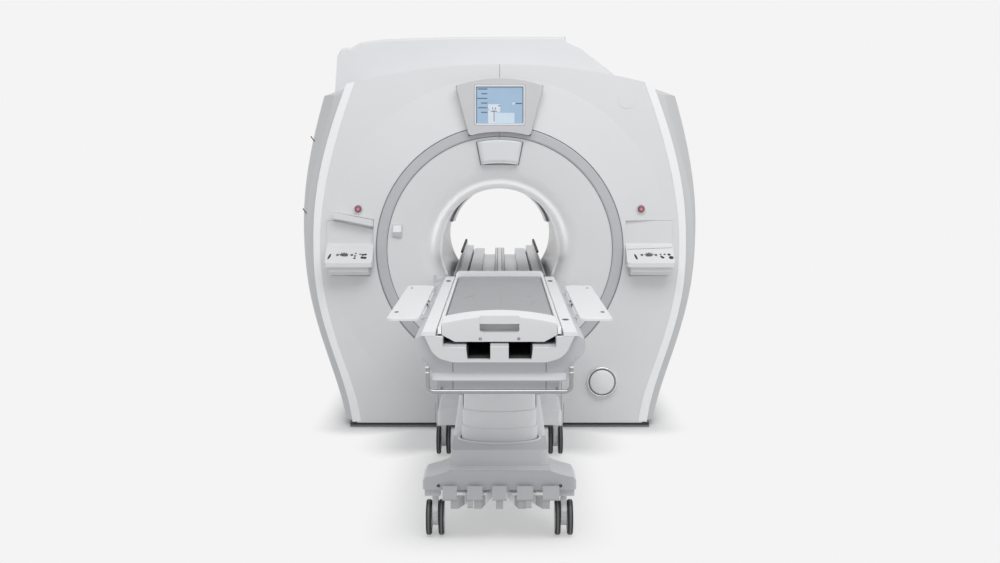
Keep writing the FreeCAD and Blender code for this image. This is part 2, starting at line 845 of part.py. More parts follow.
def control(label, side):
    housing = body(label, x=dim("panel_x") * side)
    half = dim("panel_half")
    console = sketch(housing, "side", -half)
    outline(
        console,
        [
            (20, PANEL_HIGH),
            (20, dim("panel_back_z") + 18),
            (dim("panel_back_y"), dim("panel_back_z")),
            (dim("panel_front_y"), dim("panel_front_z")),
            (dim("panel_front_y"), CONSOLE_LOW),
            (dim("well"), CONSOLE_LOW),
            (dim("well"), PANEL_HIGH),
        ],
        {1: -34.0},
    )
    solid(housing, console, half * 2)
    dress(
        housing,
        "Fillet",
        16,
        lambda e: runs_along(e, Z) and e.BoundBox.YMax < -100,
    )
    under = sketch(housing, "side", PANEL_STEP - half)
    outline(
        under,
        [
            (dim("well"), CONSOLE_LOW + 5),
            (dim("panel_front_y") + 14, CONSOLE_LOW + 5),
            (dim("panel_front_y") + 20, PANEL_LOW + 33),
            (-60, PANEL_LOW + 9),
            (dim("well"), PANEL_LOW),
        ],
    )
    solid(housing, under, (half - PANEL_STEP) * 2)
    return housing


control_left = control("control_left", -1)
ledge = sketch(control_left, "front", -30)
outline(ledge, [(-95, 1244), (137, 1197), (137, 1233), (-95, 1276)])
solid(control_left, ledge, dim("well") + 30)
SLOT_TALL = 20
slot = sketch(control_left, "front", 10)
outline(slot, [(-95, 1244 - SLOT_TALL), (137, 1197 - SLOT_TALL), (137, 1197), (-95, 1244)])
solid(control_left, slot, 20, "Pocket")
control_right = control("control_right", 1)

# keys: two round ones and a wide rocker, each in a well of the sloped face
KEYS = {
    "left": (("outer", -66.0), ("rocker", -24.0), ("inner", 17.0)),
    "right": (("inner", -49.0), ("rocker", -9.0), ("outer", 32.0)),
}
KEY_DEPTH = 5.0
hole_depth = KEY_DEPTH + 2.5
key_y = dim("panel_back_y") + face_y * 0.5
key_z = dim("panel_back_z") + face_z * 0.5


def key_outline(drawing, key, grow=0.0):
    if key == "rocker":
        wide, narrow, tall = 19 + grow, 12 + grow, 9 + grow
        return outline(
            drawing, [(-wide, -tall), (wide, -tall), (narrow, tall), (-narrow, tall)], {0: 60.0, 2: 40.0}
        )
    return circle(drawing, (0, 0), 8 + grow)


for side, word, housing in ((-1, "left", control_left), (1, "right", control_right)):
    for key, shift in KEYS[word]:
        cap = body(f"key_{key}_{word}", x=dim("panel_x") * side + shift, y=key_y, z=key_z)
        cap.Placement.Rotation = FreeCAD.Rotation(X, TILT)
        solid(cap, key_outline(sketch(cap, "top", -KEY_DEPTH), key), KEY_DEPTH + 2)
        dress(cap, "Chamfer", 0.8, lambda e: e.BoundBox.ZMin > 1.9)
        hole = housing.newObject("Sketcher::SketchObject", f"hole_{key}")
        hole.AttachmentSupport = [(origin(housing, "XY_Plane"), "")]
        hole.MapMode = "FlatFace"
        hole.AttachmentOffset.Rotation = FreeCAD.Rotation(X, TILT)
        bind(hole, "AttachmentOffset.Base.x", shift)
        bind(hole, "AttachmentOffset.Base.y", key_y + hole_depth * math.sin(math.radians(TILT)))
        bind(hole, "AttachmentOffset.Base.z", key_z - hole_depth * math.cos(math.radians(TILT)))
        solid(housing, key_outline(hole, key, 0.4), hole_depth + 5, "Pocket")

# thin dark catches on the left side cover
hook_parts = []
for number, (tail, tip) in enumerate(
    (
        (Vector(-1121, 110, 1235), Vector(-1161, 110, 1294)),
        (Vector(-1093, 240, 1670), Vector(-1127, 240, 1719)),
    )
):
    rod = doc.addObject("Part::Cylinder", f"catch_rod_{number}")
    rod.Radius = 3
    rod.Height = (tip - tail).Length
    bind(rod, "Placement.Base.x", tail.x)
    bind(rod, "Placement.Base.y", dim("y_face") + tail.y)
    bind(rod, "Placement.Base.z", tail.z)
    rod.Placement.Rotation = FreeCAD.Rotation(Z, tip - tail)
    trimmed = doc.addObject("Part::Cut", f"catch_{number}")
    trimmed.Base = rod
    trimmed.Tool = side_left
    hook_parts.append(trimmed)
hooks = doc.addObject("Part::Compound", "side_catches")
hooks.Label = "side_catches"
hooks.Links = hook_parts
NODES.append(hooks)

# ---------------------------------------------------------------- bridge through the bore
bridge = body("bridge")
rail = dim("bridge_half")
bed_r = dim("bore_r") - 0.4
half_section = [
    (dim("rib_half"), RIB_TOP),
    (dim("rib_half"), CHANNEL_FLOOR),
    (122, CHANNEL_FLOOR),
    (122, TRACK),
    (200, TRACK),
    (200, above(-17)),
    (211, above(-17)),
    (211, above(23)),
    (260, above(25)),
    (262, RAIL_TOP),
    (rail, RAIL_TOP),
    (rail, ISO - root(bed_r * bed_r - rail * rail)),
]
trough = sketch(bridge, "front", 40)
outline(trough, mirrored(half_section), {len(half_section) - 1: -bed_r})
solid(bridge, trough, dim("bridge_end") - 40)

strips = body("bridge_strips")
strip_y = REAR_Y + 160
for side in (1, -1):
    strip = sketch(strips, "front", strip_y)
    box_outline(strip, side * 263, side * (rail + 6), RAIL_TOP, RAIL_TOP + 13)
    solid(strips, strip, dim("bridge_end") - 10 - strip_y)

pedestal = body("rear_pedestal")
stand_y = dim("bridge_end") - 680
stand = sketch(pedestal, "front", stand_y)
outline(stand, mirrored([(300, 0), (300, 40), (240, 90), (205, above(-23))]))
solid(pedestal, stand, 560)
solid(pedestal, circle(sketch(pedestal, "front", stand_y - 10), (0, ISO), bed_r), 600, "Pocket")

dock = body("dock_panel")
dock_low = dim("cover_bottom")
solid(dock, box_outline(sketch(dock, "front", -8), -dock_half, dock_half, dock_low, 330), dim("well") + 8)
for side in (1, -1):
    solid(dock, circle(sketch(dock, "top"), (side * 355, 12), 19), dock_low + 6)

# ---------------------------------------------------------------- table base
base = body("table_base")
low = dim("base_low")
front = dim("base_front")
half = dim("base_half")
wings = sketch(base, "front", front)
outline(
    wings,
    mirrored([(half, low), (half, 246), (half - 12, 264), (214, 293)]),
    {2: [(263, 275)], 4: [(-263, 275)]},
)
solid(base, wings, dim("wing_len"))
for at, radius in ((front, 26), (front + dim("wing_len"), 48)):
    dress(
        base,
        "Fillet",
        radius,
        lambda e: runs_along(e, Z) and abs(e.BoundBox.Center.y - at.value) < 1,
    )
hub_front = front + dim("hub_set")
HUB_BEND = 280
solid(base, round_box(sketch(base, "top", low), -214, 214, hub_front, -960, 40), HUB_BEND - low)
collar_low = sketch(base, "top", HUB_BEND)
round_box(collar_low, -214, 214, hub_front, -960, 40)
collar_high = sketch(base, "top", dim("hub_top"))
round_box(collar_high, -207, 207, hub_front + 8, -966, 38)
loft(base, [collar_low, collar_high], ruled=True)
spine = sketch(base, "top", low + 4)
solid(base, box_outline(spine, -150, 150, -1000, dim("head_front")), 66)
BOLT_R = 12.0
BOLT_UP = 29.0
for side in (1, -1):
    bolt_hole = sketch(base, "top", low - 5)
    circle(bolt_hole, (dim("caster_x") * side, dim("caster_y")), dim("fit") + BOLT_R)
    solid(base, bolt_hole, BOLT_UP + 8, "Pocket")
    vent = circle(sketch(base, "front", front - 5), (side * 257, 229), 8)
    solid(base, vent, 30, "Pocket")
    toe = sketch(base, "front", front + 10)
    box_outline(toe, side * 249, side * 316, low - 28, low + 1)
    solid(base, toe, 38)


def sleeve_outline(drawing, grow):
    """The plan of a lift sleeve with bowed ends, moved outwards all round by one step."""
    corner = dim("sleeve_corner")
    wide = dim("sleeve_half") + grow
    bow = dim("sleeve_bow") + grow
    arm = dim("sleeve_bow") - corner
    inner_x = dim("sleeve_half") - corner
    reach = root(arm * arm - inner_x * inner_x)
    near = dim("sleeve_front") + dim("sleeve_bow")
    far = dim("sleeve_rear") - dim("sleeve_bow")
    tip_x = inner_x * bow / arm
    tip_y = reach * bow / arm
    turn = corner + grow
    return outline(
        drawing,
        [
            (tip_x, near - tip_y),
            (wide, near - reach),
            (wide, far + reach),
            (tip_x, far + tip_y),
            (-tip_x, far + tip_y),
            (-wide, far + reach),
            (-wide, near - reach),
            (-tip_x, near - tip_y),
        ],
        {0: turn, 2: turn, 3: bow, 4: turn, 6: turn, 7: bow},
    )


step = dim("sleeve_step")
PIT_Z = 262.0
solid(base, sleeve_outline(sketch(base, "top", PIT_Z), step * 2), 200, "Pocket")
pedal_y, pedal_z = dim("pedal_y"), dim("pedal_z")
for side in (1, -1):
    lug = sketch(base, "side", side * 232 - 6)
    box_outline(lug, pedal_y - 14, pedal_y + 14, pedal_z - 12, low + 1)
    solid(base, lug, 12)
SHAFT_R = 7.0
solid(base, circle(sketch(base, "side", -232), (pedal_y, pedal_z), SHAFT_R), 464)

head_base = body("head_base_cover")
head_low = dim("head_low")
head_block = sketch(head_base, "front", dim("head_front"))
outline(head_block, mirrored([(329, head_low), (329, 252), (318, 275), (225, 287)]))
solid(head_base, head_block, dim("head_len"))
dress(head_base, "Fillet", 20, lambda e: runs_along(e, Z))
for side in (1, -1):
    bolt_hole = sketch(head_base, "top", head_low - 5)
    circle(bolt_hole, (dim("head_caster_x") * side, dim("head_caster_y")), dim("fit") + BOLT_R)
    solid(head_base, bolt_hole, BOLT_UP + 8, "Pocket")

lower = body("lower_sleeve")
solid(lower, sleeve_outline(sketch(lower, "top", PIT_Z), step * 2), 421 - PIT_Z)
SKIRT_TOP = 540
skirt_low = round_box(sketch(lower, "top", dim("hub_top")), -206, 206, -1752, -985, 20)
skirt_high = round_box(sketch(lower, "top", SKIRT_TOP), -181, 181, -1732, -1000, 20)
loft(lower, [skirt_low, skirt_high], ruled=True)
solid(lower, sleeve_outline(sketch(lower, "top", PIT_Z), step + 1), 300, "Pocket")

middle = body("middle_sleeve")
solid(middle, sleeve_outline(sketch(middle, "top", 405), step), 90)
solid(middle, sleeve_outline(sketch(middle, "top", 400), 1), 120, "Pocket")

upper = body("upper_sleeve")
FRAME_LOW = above(-98)
UPPER_LOW = 475
solid(upper, sleeve_outline(sketch(upper, "top", UPPER_LOW), 0), FRAME_LOW - UPPER_LOW)

# casters: a fork plate between two wheels, on a swivel bolt
AXLE_R = 8.0
CASTERS = (
    ("foot_left", -dim("caster_x"), dim("caster_y"), low),
    ("foot_right", dim("caster_x"), dim("caster_y"), low),
    ("head_left", -dim("head_caster_x"), dim("head_caster_y"), head_low),
    ("head_right", dim("head_caster_x"), dim("head_caster_y"), head_low),
)
tyre = dim("wheel_r")
trail = dim("trail")
for word, caster_x, caster_y, plate_z in CASTERS:
    fork = body(f"fork_{word}", x=caster_x, y=caster_y)
    top = plate_z - 0.5
    solid(fork, circle(sketch(fork, "top", top - 12), (0, 0), 30), 12)
    solid(fork, circle(sketch(fork, "top", top - 1), (0, 0), BOLT_R), BOLT_UP)
    plate = sketch(fork, "side", -12)
    outline(
        plate,
        [
            (26, top - 11),
            (-26, top - 11),
            (-trail - 42, tyre + 40),
            (-trail - 42, tyre),
            (-trail + 42, tyre),
            (18, tyre + 52),
        ],
        {3: 43.0},
    )
    solid(fork, plate, 24)
    axle_hole = circle(sketch(fork, "side", -20), (-trail, tyre), dim("fit") + AXLE_R)
    solid(fork, axle_hole, 40, "Pocket")
    pair = body(f"wheels_{word}", x=caster_x, y=caster_y - trail, z=tyre)
    rim_half = [
        (14.5, AXLE_R),
        (14.5, 26),
        (19, 30),
        (19, 55),
        (15, 59),
        (15, tyre - 5),
        (20, tyre),
        (34, tyre),
        (38, tyre - 5),
        (38, 59),
        (34, 55),
        (34, 24),
        (38, 20),
        (38, 0),
    ]
    turned(pair, outline(sketch(pair, "front"), mirrored(rim_half)), "X_Axis")

# pedals: a sloping pad, a deep slanting arm and a hub on the common shaft
PEDALS = ((-209, 30, -112), (-103, 32, -44), (0, 30, 0), (107, 34, 46), (216, 35, 114))
for number, (pad_x, pad_half_x, hub_x) in enumerate(PEDALS, start=1):
    pedal = body(f"pedal_{number}", y=pedal_y, z=pedal_z)
    solid(pedal, circle(sketch(pedal, "side", hub_x - 14), (0, 0), 12), 28)
    arm_x = pad_x + 0.2 * (hub_x - pad_x)
    arm_end = box_outline(sketch(pedal, "front", -82), arm_x - 15, arm_x + 15, -54, -10)
    arm_root = box_outline(sketch(pedal, "front", -6), hub_x - 13, hub_x + 13, -26, 8)
    loft(pedal, [arm_end, arm_root], ruled=True)
    pad_side = sketch(pedal, "side", pad_x - pad_half_x)
    outline(pad_side, [(-57, 38), (-64, 38), (-88, -12), (-85, -18), (-74, -18)])
    solid(pedal, pad_side, 2 * pad_half_x)
    if number in (2, 4):
        tab_x = 122 * (-1 if number == 2 else 1)
        tab = sketch(pedal, "side", tab_x - 12)
        outline(tab, [(-78, -18), (-70, -2), (-80, -2), (-92, -44), (-84, -50)])
        solid(pedal, tab, 24)
    solid(pedal, circle(sketch(pedal, "side", hub_x - 40), (0, 0), dim("fit") + SHAFT_R), 80, "Pocket")

# ---------------------------------------------------------------- table top
frame = body("table_frame")
head, foot = dim("table_head"), dim("table_foot")
END = 25.0
STUB_RISE, STUB_R = -91, 7
deck_low = DECK_TOP - 16
frame_front = foot + END
section = sketch(frame, "front", frame_front)
frame_half = [
    (dim("rib_half") + 2, RIB_TOP),
    (dim("rib_half") + 2, CHANNEL_FLOOR),
    (dim("channel_half"), CHANNEL_FLOOR),
    (136, TRACK),
    (231, TRACK),
    (231, above(31)),
    (dim("deck_in"), above(33)),
    (dim("deck_in"), deck_low),
    (dim("deck_half"), deck_low),
    (346, above(29)),
    (343, above(-31)),
    (318, above(-57)),
    (292, above(-91)),
    (172, FRAME_LOW),
]
last = 2 * len(frame_half) - 1
outline(section, mirrored(frame_half), {9: [(349, above(-1))], last - 10: [(-349, above(-1))]})
solid(frame, section, head - frame_front)
skirt = sketch(frame, "front", frame_front)
skirt_half = [
    (292, above(-90)),
    (276, above(-110)),
    (273, above(-133)),
    (246, above(-143)),
    (243, above(-181)),
]
outline(skirt, mirrored(skirt_half))
solid(frame, skirt, 300)
undercut = sketch(frame, "side", -400)
outline(
    undercut,
    [
        (foot + 190, above(-188)),
        (foot + 340, above(-188)),
        (foot + 340, above(-99)),
        (foot + 300, above(-99)),
    ],
)
solid(frame, undercut, 800, "Pocket")

# rolled lip of the shroud, along its lower edge and up both corners
LIP_HALF, LIP_END = 272, 314


def lip_section(at, proud, heights):
    """One slice of the lip: a sloping shelf over a thin edge."""
    drawing = sketch(frame, "side", at)
    seat = frame_front + 2
    shelf, nose_top, nose_low, under = [above(rise) for rise in heights]
    return outline(
        drawing,
        [
            (seat, shelf),
            (frame_front - proud, nose_top),
            (frame_front - proud, nose_low),
            (seat, under),
        ],
    )


LIP_MIDDLE = (-107, -135, -140, -143)
LIP_CORNER = (-43, -49, -55, -61)
solid(frame, lip_section(-LIP_HALF, 22, LIP_MIDDLE), LIP_HALF * 2)
for side in (1, -1):
    loft(
        frame,
        [lip_section(side * LIP_HALF, 22, LIP_MIDDLE), lip_section(side * LIP_END, 10, LIP_CORNER)],
        ruled=True,
    )
    stub_way = sketch(frame, "front", frame_front - 30)
    circle(stub_way, (dim("handle_half") * side, above(STUB_RISE)), STUB_R + 0.3)
    solid(frame, stub_way, 30, "Pocket")
hinge_x, hinge_z, hinge_r = dim("hinge_x"), HINGE_Z, dim("hinge_r")
LUG_R = 7.5
for side in (1, -1):
    for at in (-1640, -1160, -700):
        web = sketch(frame, "front", at)
        web_points = [(336, above(5)), (357, above(33)), (357, hinge_z), (330, above(39))]
        outline(web, [(side * x, z) for x, z in web_points])
        solid(frame, web, 30)
        solid(frame, circle(sketch(frame, "front", at), (hinge_x * side, hinge_z), LUG_R), 30)
        rod_hole = circle(sketch(frame, "front", at - 5), (hinge_x * side, hinge_z), hinge_r + dim("fit"))
        solid(frame, rod_hole, 40, "Pocket")
latch = sketch(frame, "front", -45)
latch_points = [(-322, 37), (-386, 23), (-386, 71), (-370, 71), (-366, 47), (-322, 56)]
outline(latch, [(x, above(rise)) for x, rise in latch_points])
solid(frame, latch, 25)

deck = body("deck")
for side in (1, -1):
    plank = sketch(deck, "front", foot + 12)
    outline(
        plank,
        [
            (side * dim("deck_in"), deck_low),
            (side * dim("deck_half"), deck_low),
            (side * dim("deck_half"), DECK_TOP - 4),
            (side * (dim("deck_half") - 4), DECK_TOP),
            (side * dim("deck_in"), DECK_TOP),
        ],
    )
    solid(deck, plank, head - foot - 12)

fascia = body("end_fascia")
plate = sketch(fascia, "front", foot)
fascia_half = [
    (190, above(-62)),
    (236, above(-49)),
    (278, above(-11)),
    (303, above(43)),
    (232, above(43)),
    (230, above(-2)),
    (136, above(-3)),
    (dim("channel_half"), CHANNEL_FLOOR),
    (dim("rib_half") + 2, CHANNEL_FLOOR),
    (dim("rib_half") + 2, above(1)),
]
last = 2 * len(fascia_half) - 1
outline(plate, mirrored(fascia_half), {1: [(260, above(-33))], last - 2: [(-260, above(-33))]})
solid(fascia, plate, END)

# push handle: a bent tube held by two short brackets and two posts
handle = body("push_handle")
hang, lowest = dim("handle_half"), TRACK - dim("handle_drop")
HIGH, BEND = above(-79), 26.0
path = sketch(handle, "front", dim("handle_y"))
path_points = [
    (-hang, HIGH),
    (-hang, lowest + BEND),
    (-hang + BEND, lowest),
    (hang - BEND, lowest),
    (hang, lowest + BEND),
    (hang, HIGH),
]
for number in range(5):
    a, b = flat(path_points[number]), flat(path_points[number + 1])
    if number in (1, 3):
        middle = Vector(a.x + BEND if number == 1 else b.x - BEND, lowest.value + BEND, 0)
        angles = (math.pi, 1.5 * math.pi) if number == 1 else (1.5 * math.pi, 2 * math.pi)
        piece = path.addGeometry(Part.ArcOfCircle(Part.Circle(middle, Z, BEND), *angles))
    else:
        piece = path.addGeometry(Part.LineSegment(a, b))
    pin(path, piece, 1, path_points[number])
    pin(path, piece, 2, path_points[number + 1])
ring_cut = circle(sketch(handle, "top", HIGH), (-hang, dim("handle_y")), dim("handle_r"))
pipe = handle.newObject("PartDesign::AdditivePipe", "Tube")
pipe.Profile = ring_cut
pipe.Spine = (path, [f"Edge{n}" for n in range(1, 6)])
for side in (1, -1):
    for spot, radius in (((hang * side, above(STUB_RISE)), STUB_R), ((235 * side, lowest + 3), 5)):
        stub = circle(sketch(handle, "front", dim("handle_y")), spot, radius)
        solid(handle, stub, frame_front - dim("handle_y"))

# arm boards on hinge rods along both sides of the table
for side, word in ((-1, "left"), (1, "right")):
    board = body(f"arm_board_{word}", x=hinge_x * side, z=hinge_z)
    board_low = BOARD_TOP - dim("board_thick") - hinge_z
    xs = sorted((dim(a).value - hinge_x.value) * side for a in ("board_in", "board_out"))
    paddle = sketch(board, "top", board_low)
    round_box(paddle, xs[0], xs[1], dim("board_foot"), dim("board_head"), 30)
    solid(board, paddle, dim("board_thick"))
    dress(board, "Fillet", 4, lambda e: e.BoundBox.ZMin > board_low.value + 12 and e.BoundBox.ZLength < 1e-6)
    solid(board, circle(sketch(board, "front", -1660), (0, 0), hinge_r), 1010)
    for at in (-1590, -1000, -790):
        knuckle = sketch(board, "front", at)
        outline(
            knuckle,
            [
                (side * -4, -4),
                (side * 4, -4),
                (side * 60, 5),
                (side * 60, 9.5),
                (side * 1.5, 9.5),
                (side * -4, 4),
            ],
        )
        solid(board, knuckle, 50)

# cradle: a shallow tray on two runners, with a raised lip at the head
cradle = body("cradle")
edge_x = dim("cradle_half")
seat_z = PAD_SEAT
tray_half = [
    (dim("pad_half") + 2, seat_z),
    (dim("pad_half") + 2, RIM_TOP - 3),
    (dim("pad_half") + 6, RIM_TOP),
    (edge_x - 3, RIM_TOP),
    (edge_x, RIM_TOP - 3),
    (edge_x, above(38)),
    (230, above(35)),
    (186, CRADLE_LOW),
    (180, CRADLE_LOW),
    (180, TRACK),
    (145, TRACK),
    (145, CRADLE_LOW),
]
tray = sketch(cradle, "front", dim("cradle_foot"))
outline(tray, mirrored(tray_half))
solid(cradle, tray, dim("cradle_head") - dim("cradle_foot"))
lip_front = sketch(cradle, "front", dim("cradle_head") - 14)
LIP_R = 26.0
outline(
    lip_front,
    [
        (-edge_x, seat_z),
        (edge_x, seat_z),
        (edge_x, LIP_TOP - LIP_R),
        (edge_x - LIP_R, LIP_TOP),
        (LIP_R - edge_x, LIP_TOP),
        (-edge_x, LIP_TOP - LIP_R),
    ],
    {2: LIP_R, 4: LIP_R},
)
solid(cradle, lip_front, 14)
foot_room = sketch(cradle, "front", dim("cradle_foot") - 5)
BLOCK_Y = 65.0
box_outline(foot_room, -(dim("pad_half") + 2), dim("pad_half") + 2, above(-3), seat_z)
solid(cradle, foot_room, BLOCK_Y + 5, "Pocket")


def rake(owner, ahead):
    """Cuts the foot end back along the slanted plane of the foot panel."""
    start = dim("cradle_foot") - ahead
    run = dim("hood_run")
    wedge = sketch(owner, "side", -300)
    outline(
        wedge,
        [
            (start - 90, above(-3)),
            (start - 14 * run, above(-3)),
            (start + 106 * run, above(117)),
            (start - 90, above(117)),
        ],
    )
    solid(owner, wedge, 600, "Pocket")


rake(cradle, 0)

cushion = body("cradle_pad")
soft = dim("pad_half")
soft_top = PAD_TOP - 1
pad_front = sketch(cushion, "front", dim("hood_y"))
outline(
    pad_front,
    [
        (-soft, seat_z),
        (soft, seat_z),
        (soft, soft_top - 10),
        (soft - 10, soft_top),
        (10 - soft, soft_top),
        (-soft, soft_top - 10),
    ],
    {2: 10.0, 3: 26000.0, 4: 10.0},
)
solid(cushion, pad_front, dim("cradle_head") - 16 - dim("hood_y"))

hood = body("foot_panel")
arch = sketch(hood, "front", dim("cradle_foot"))
outline(arch, [(-soft, seat_z), (soft, seat_z), (soft, above(80)), (-soft, above(80))], {2: 1064.0})
solid(hood, arch, dim("hood_y") - dim("cradle_foot") - 1)
apron = sketch(hood, "front", dim("cradle_foot") - 6)
outline(apron, mirrored([(184, above(11)), (229, above(33)), (soft, above(37)), (soft, seat_z + 1)]))
solid(hood, apron, BLOCK_Y + 6)
rake(hood, 0)
dress(
    hood,
    "Fillet",
    9,
    lambda e: e.BoundBox.XLength > 400 and e.BoundBox.ZMin > PAD_TOP.value and e.BoundBox.YLength > 3,
)
GRIP_HALF = 82
grip_top = above(80)
brow = sketch(hood, "front", dim("cradle_foot") + 20)
solid(hood, box_outline(brow, -GRIP_HALF, GRIP_HALF, grip_top, above(110.5)), 60)
rake(hood, 3)
grip = sketch(hood, "front", dim("cradle_foot") - 60)
GRIP_R = 12
grip_low = above(45)
outline(
    grip,
    [
        (-GRIP_HALF, grip_top),
        (-GRIP_HALF, grip_low + GRIP_R),
        (GRIP_R - GRIP_HALF, grip_low),
        (GRIP_HALF - GRIP_R, grip_low),
        (GRIP_HALF, grip_low + GRIP_R),
        (GRIP_HALF, grip_top),
    ],
    {1: GRIP_R, 3: GRIP_R},
)
solid(hood, grip, 168, "Pocket")

# ---------------------------------------------------------------- checks and export
doc.recompute()
for made in doc.Objects:
    if "Invalid" in made.State or "Error" in made.State:
        owners = ", ".join(owner.Label for owner in made.InListRecursive)
        raise RuntimeError(f"{made.Label} of {owners} did not compute: {made.State}")
for made in NODES:
    shape = made.Shape
    if shape.isNull() or not shape.isValid() or not shape.Solids:
        raise RuntimeError(f"{made.Label} has no valid solid")
    shape.exportStep(f"parts/{made.Label}.step")
    box = shape.BoundBox
    print(
        f"{made.Label:20s} solids {len(shape.Solids)} litres {shape.Volume / 1e6:8.3f}"
        f"  x {box.XMin:8.1f} {box.XMax:8.1f}  y {box.YMin:8.1f} {box.YMax:8.1f}"
        f"  z {box.ZMin:7.1f} {box.ZMax:7.1f}"
    )
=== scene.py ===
"""Looks of a whole-body MRI scanner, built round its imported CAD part.

Lengths are metres in the frame's own axes: X to the right, Y into the bore, Z up. place() turns a measure
of the CAD drawing (millimetres, Y counted from the ring round the bore) into such a point.
"""

import json
import math
from functools import wraps
from itertools import product

import bmesh
import bpy
import numpy as np
from bpy.props import FloatProperty, FloatVectorProperty, IntProperty, PointerProperty
from mathutils import Matrix, Vector, noise


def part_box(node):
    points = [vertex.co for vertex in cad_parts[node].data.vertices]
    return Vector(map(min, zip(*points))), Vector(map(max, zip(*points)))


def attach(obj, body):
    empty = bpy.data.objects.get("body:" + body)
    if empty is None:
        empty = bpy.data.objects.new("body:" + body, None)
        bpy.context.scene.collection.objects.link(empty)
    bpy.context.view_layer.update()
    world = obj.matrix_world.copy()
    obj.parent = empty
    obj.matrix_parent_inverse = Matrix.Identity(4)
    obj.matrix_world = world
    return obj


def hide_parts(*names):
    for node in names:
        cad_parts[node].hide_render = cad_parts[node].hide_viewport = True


bl_info = {
    "name": "MRI scanner looks",
    "version": (1, 0, 0),
    "blender": (4, 5, 0),
    "location": "3D View > Sidebar > Scanner",
    "description": "Finishes, cushion, fittings and studio for a whole-body MRI scanner",
    "category": "Object",
}

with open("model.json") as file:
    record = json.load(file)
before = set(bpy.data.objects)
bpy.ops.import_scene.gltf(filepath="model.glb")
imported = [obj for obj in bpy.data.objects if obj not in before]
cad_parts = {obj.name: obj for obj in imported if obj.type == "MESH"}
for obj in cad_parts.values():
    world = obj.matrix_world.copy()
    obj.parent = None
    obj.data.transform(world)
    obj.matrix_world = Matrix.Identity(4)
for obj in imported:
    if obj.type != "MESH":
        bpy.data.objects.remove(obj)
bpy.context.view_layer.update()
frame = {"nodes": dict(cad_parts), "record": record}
RING_Y = -0.28975  # the ring plane in the frame
SIDES = (1, -1)  # right and left of the middle
UP = (0, 0, 1)


def place(x, y, z):
    """A point of the CAD drawing in the frame."""
    return Vector((x / 1000, y / 1000 + RING_Y, z / 1000))


def drawing_y(y):
    """A depth of the frame in the CAD drawing."""
    return (y - RING_Y) * 1000


# ---------------------------------------------------------------- sizes and colours a user may change
def colour(name, about, default):
    """A colour property, in linear light."""
    return FloatVectorProperty(name=name, description=about, subtype="COLOR", size=3, min=0, max=1, default=default)


def length(name, about, default):
    """A length property, in metres."""
    return FloatProperty(name=name, description=about, default=default, min=0, unit="LENGTH", precision=4)


def share(name, about, default):
    """A property between none and all."""
    return FloatProperty(name=name, description=about, default=default, min=0, max=1, subtype="FACTOR")


def power(name, about, default):
    """A lamp's power, in watts."""
    return FloatProperty(name=name, description=about, default=default, min=0, unit="POWER")


class ScannerFinish(bpy.types.PropertyGroup):
    """Colours and gloss of the scanner's surfaces."""

    cover: colour("Front cover", "Moulded front cover and funnel", (0.78, 0.785, 0.79))
    stripe: colour("Edge stripe", "Bright stripe down both edges of the front", (0.97, 0.973, 0.978))
    flank: colour("Side cover", "Side, roof and rear covers", (0.66, 0.665, 0.675))
    roof: colour("Roof", "Raised housing on the roof", (0.80, 0.805, 0.815))
    ring: colour("Ring", "Grey ring round the bore", (0.545, 0.545, 0.56))
    bezel: colour("Bezel", "Warm grey surround of the display", (0.63, 0.625, 0.635))
    display: colour("Display", "Lit field of the display", (0.36, 0.51, 0.68))
    stop: colour("Stop button", "Emergency stop buttons", (0.40, 0.09, 0.13))
    shroud: colour("Shroud", "Grey moulding under the table top", (0.60, 0.605, 0.62))
    # The base's front is set darker than its top and hub: painted shade, for light that falls from above.
    base: colour("Base", "Front of the rolling base", (0.49, 0.495, 0.51))
    base_top: colour("Base top", "Top and hub of the rolling base", (0.68, 0.683, 0.695))
    tray: colour("Tray", "Cradle tray", (0.90, 0.903, 0.91))
    cushion: colour("Cushion", "Coated fabric of the cradle cushion", (0.355, 0.362, 0.372))
    steel: colour("Painted steel", "Caster forks", (0.88, 0.883, 0.89))
    rubber: colour("Rubber", "Tyres and strips", (0.018, 0.018, 0.020))
    cover_gloss: share("Cover roughness", "Roughness of the moulded covers", 0.42)
    grain_size: length("Grain size", "Width of the moulded grain", 0.0016)
    grain_depth: length("Grain depth", "Depth of the moulded grain", 0.00002)


class ScannerSizes(bpy.types.PropertyGroup):
    """Sizes of the pieces that are added to the CAD part."""

    cushion_crown: length("Cushion crown", "How far the cushion's middle rises over its edges", 0.004)
    cushion_pull: length("Cushion pull", "How far the cushion's sides draw in between its corners", 0.003)
    crease_depth: length("Crease depth", "Depth of the creases in the cushion's cover", 0.0062)
    screw_radius: length("Screw radius", "Heads of the foot panel's screws", 0.0062)
    mark_lift: length("Mark thickness", "Thickness of the printed marks", 0.0004)
    seam_half: length("Seam half width", "Half the width of a joint between covers", 0.0012)
    label_rows: IntProperty(name="Label rows", description="Rows of labels on the display", default=6, min=1, max=20)
    label_seed: IntProperty(name="Label seed", description="Seed for the lengths of the label rows", default=4, min=0)


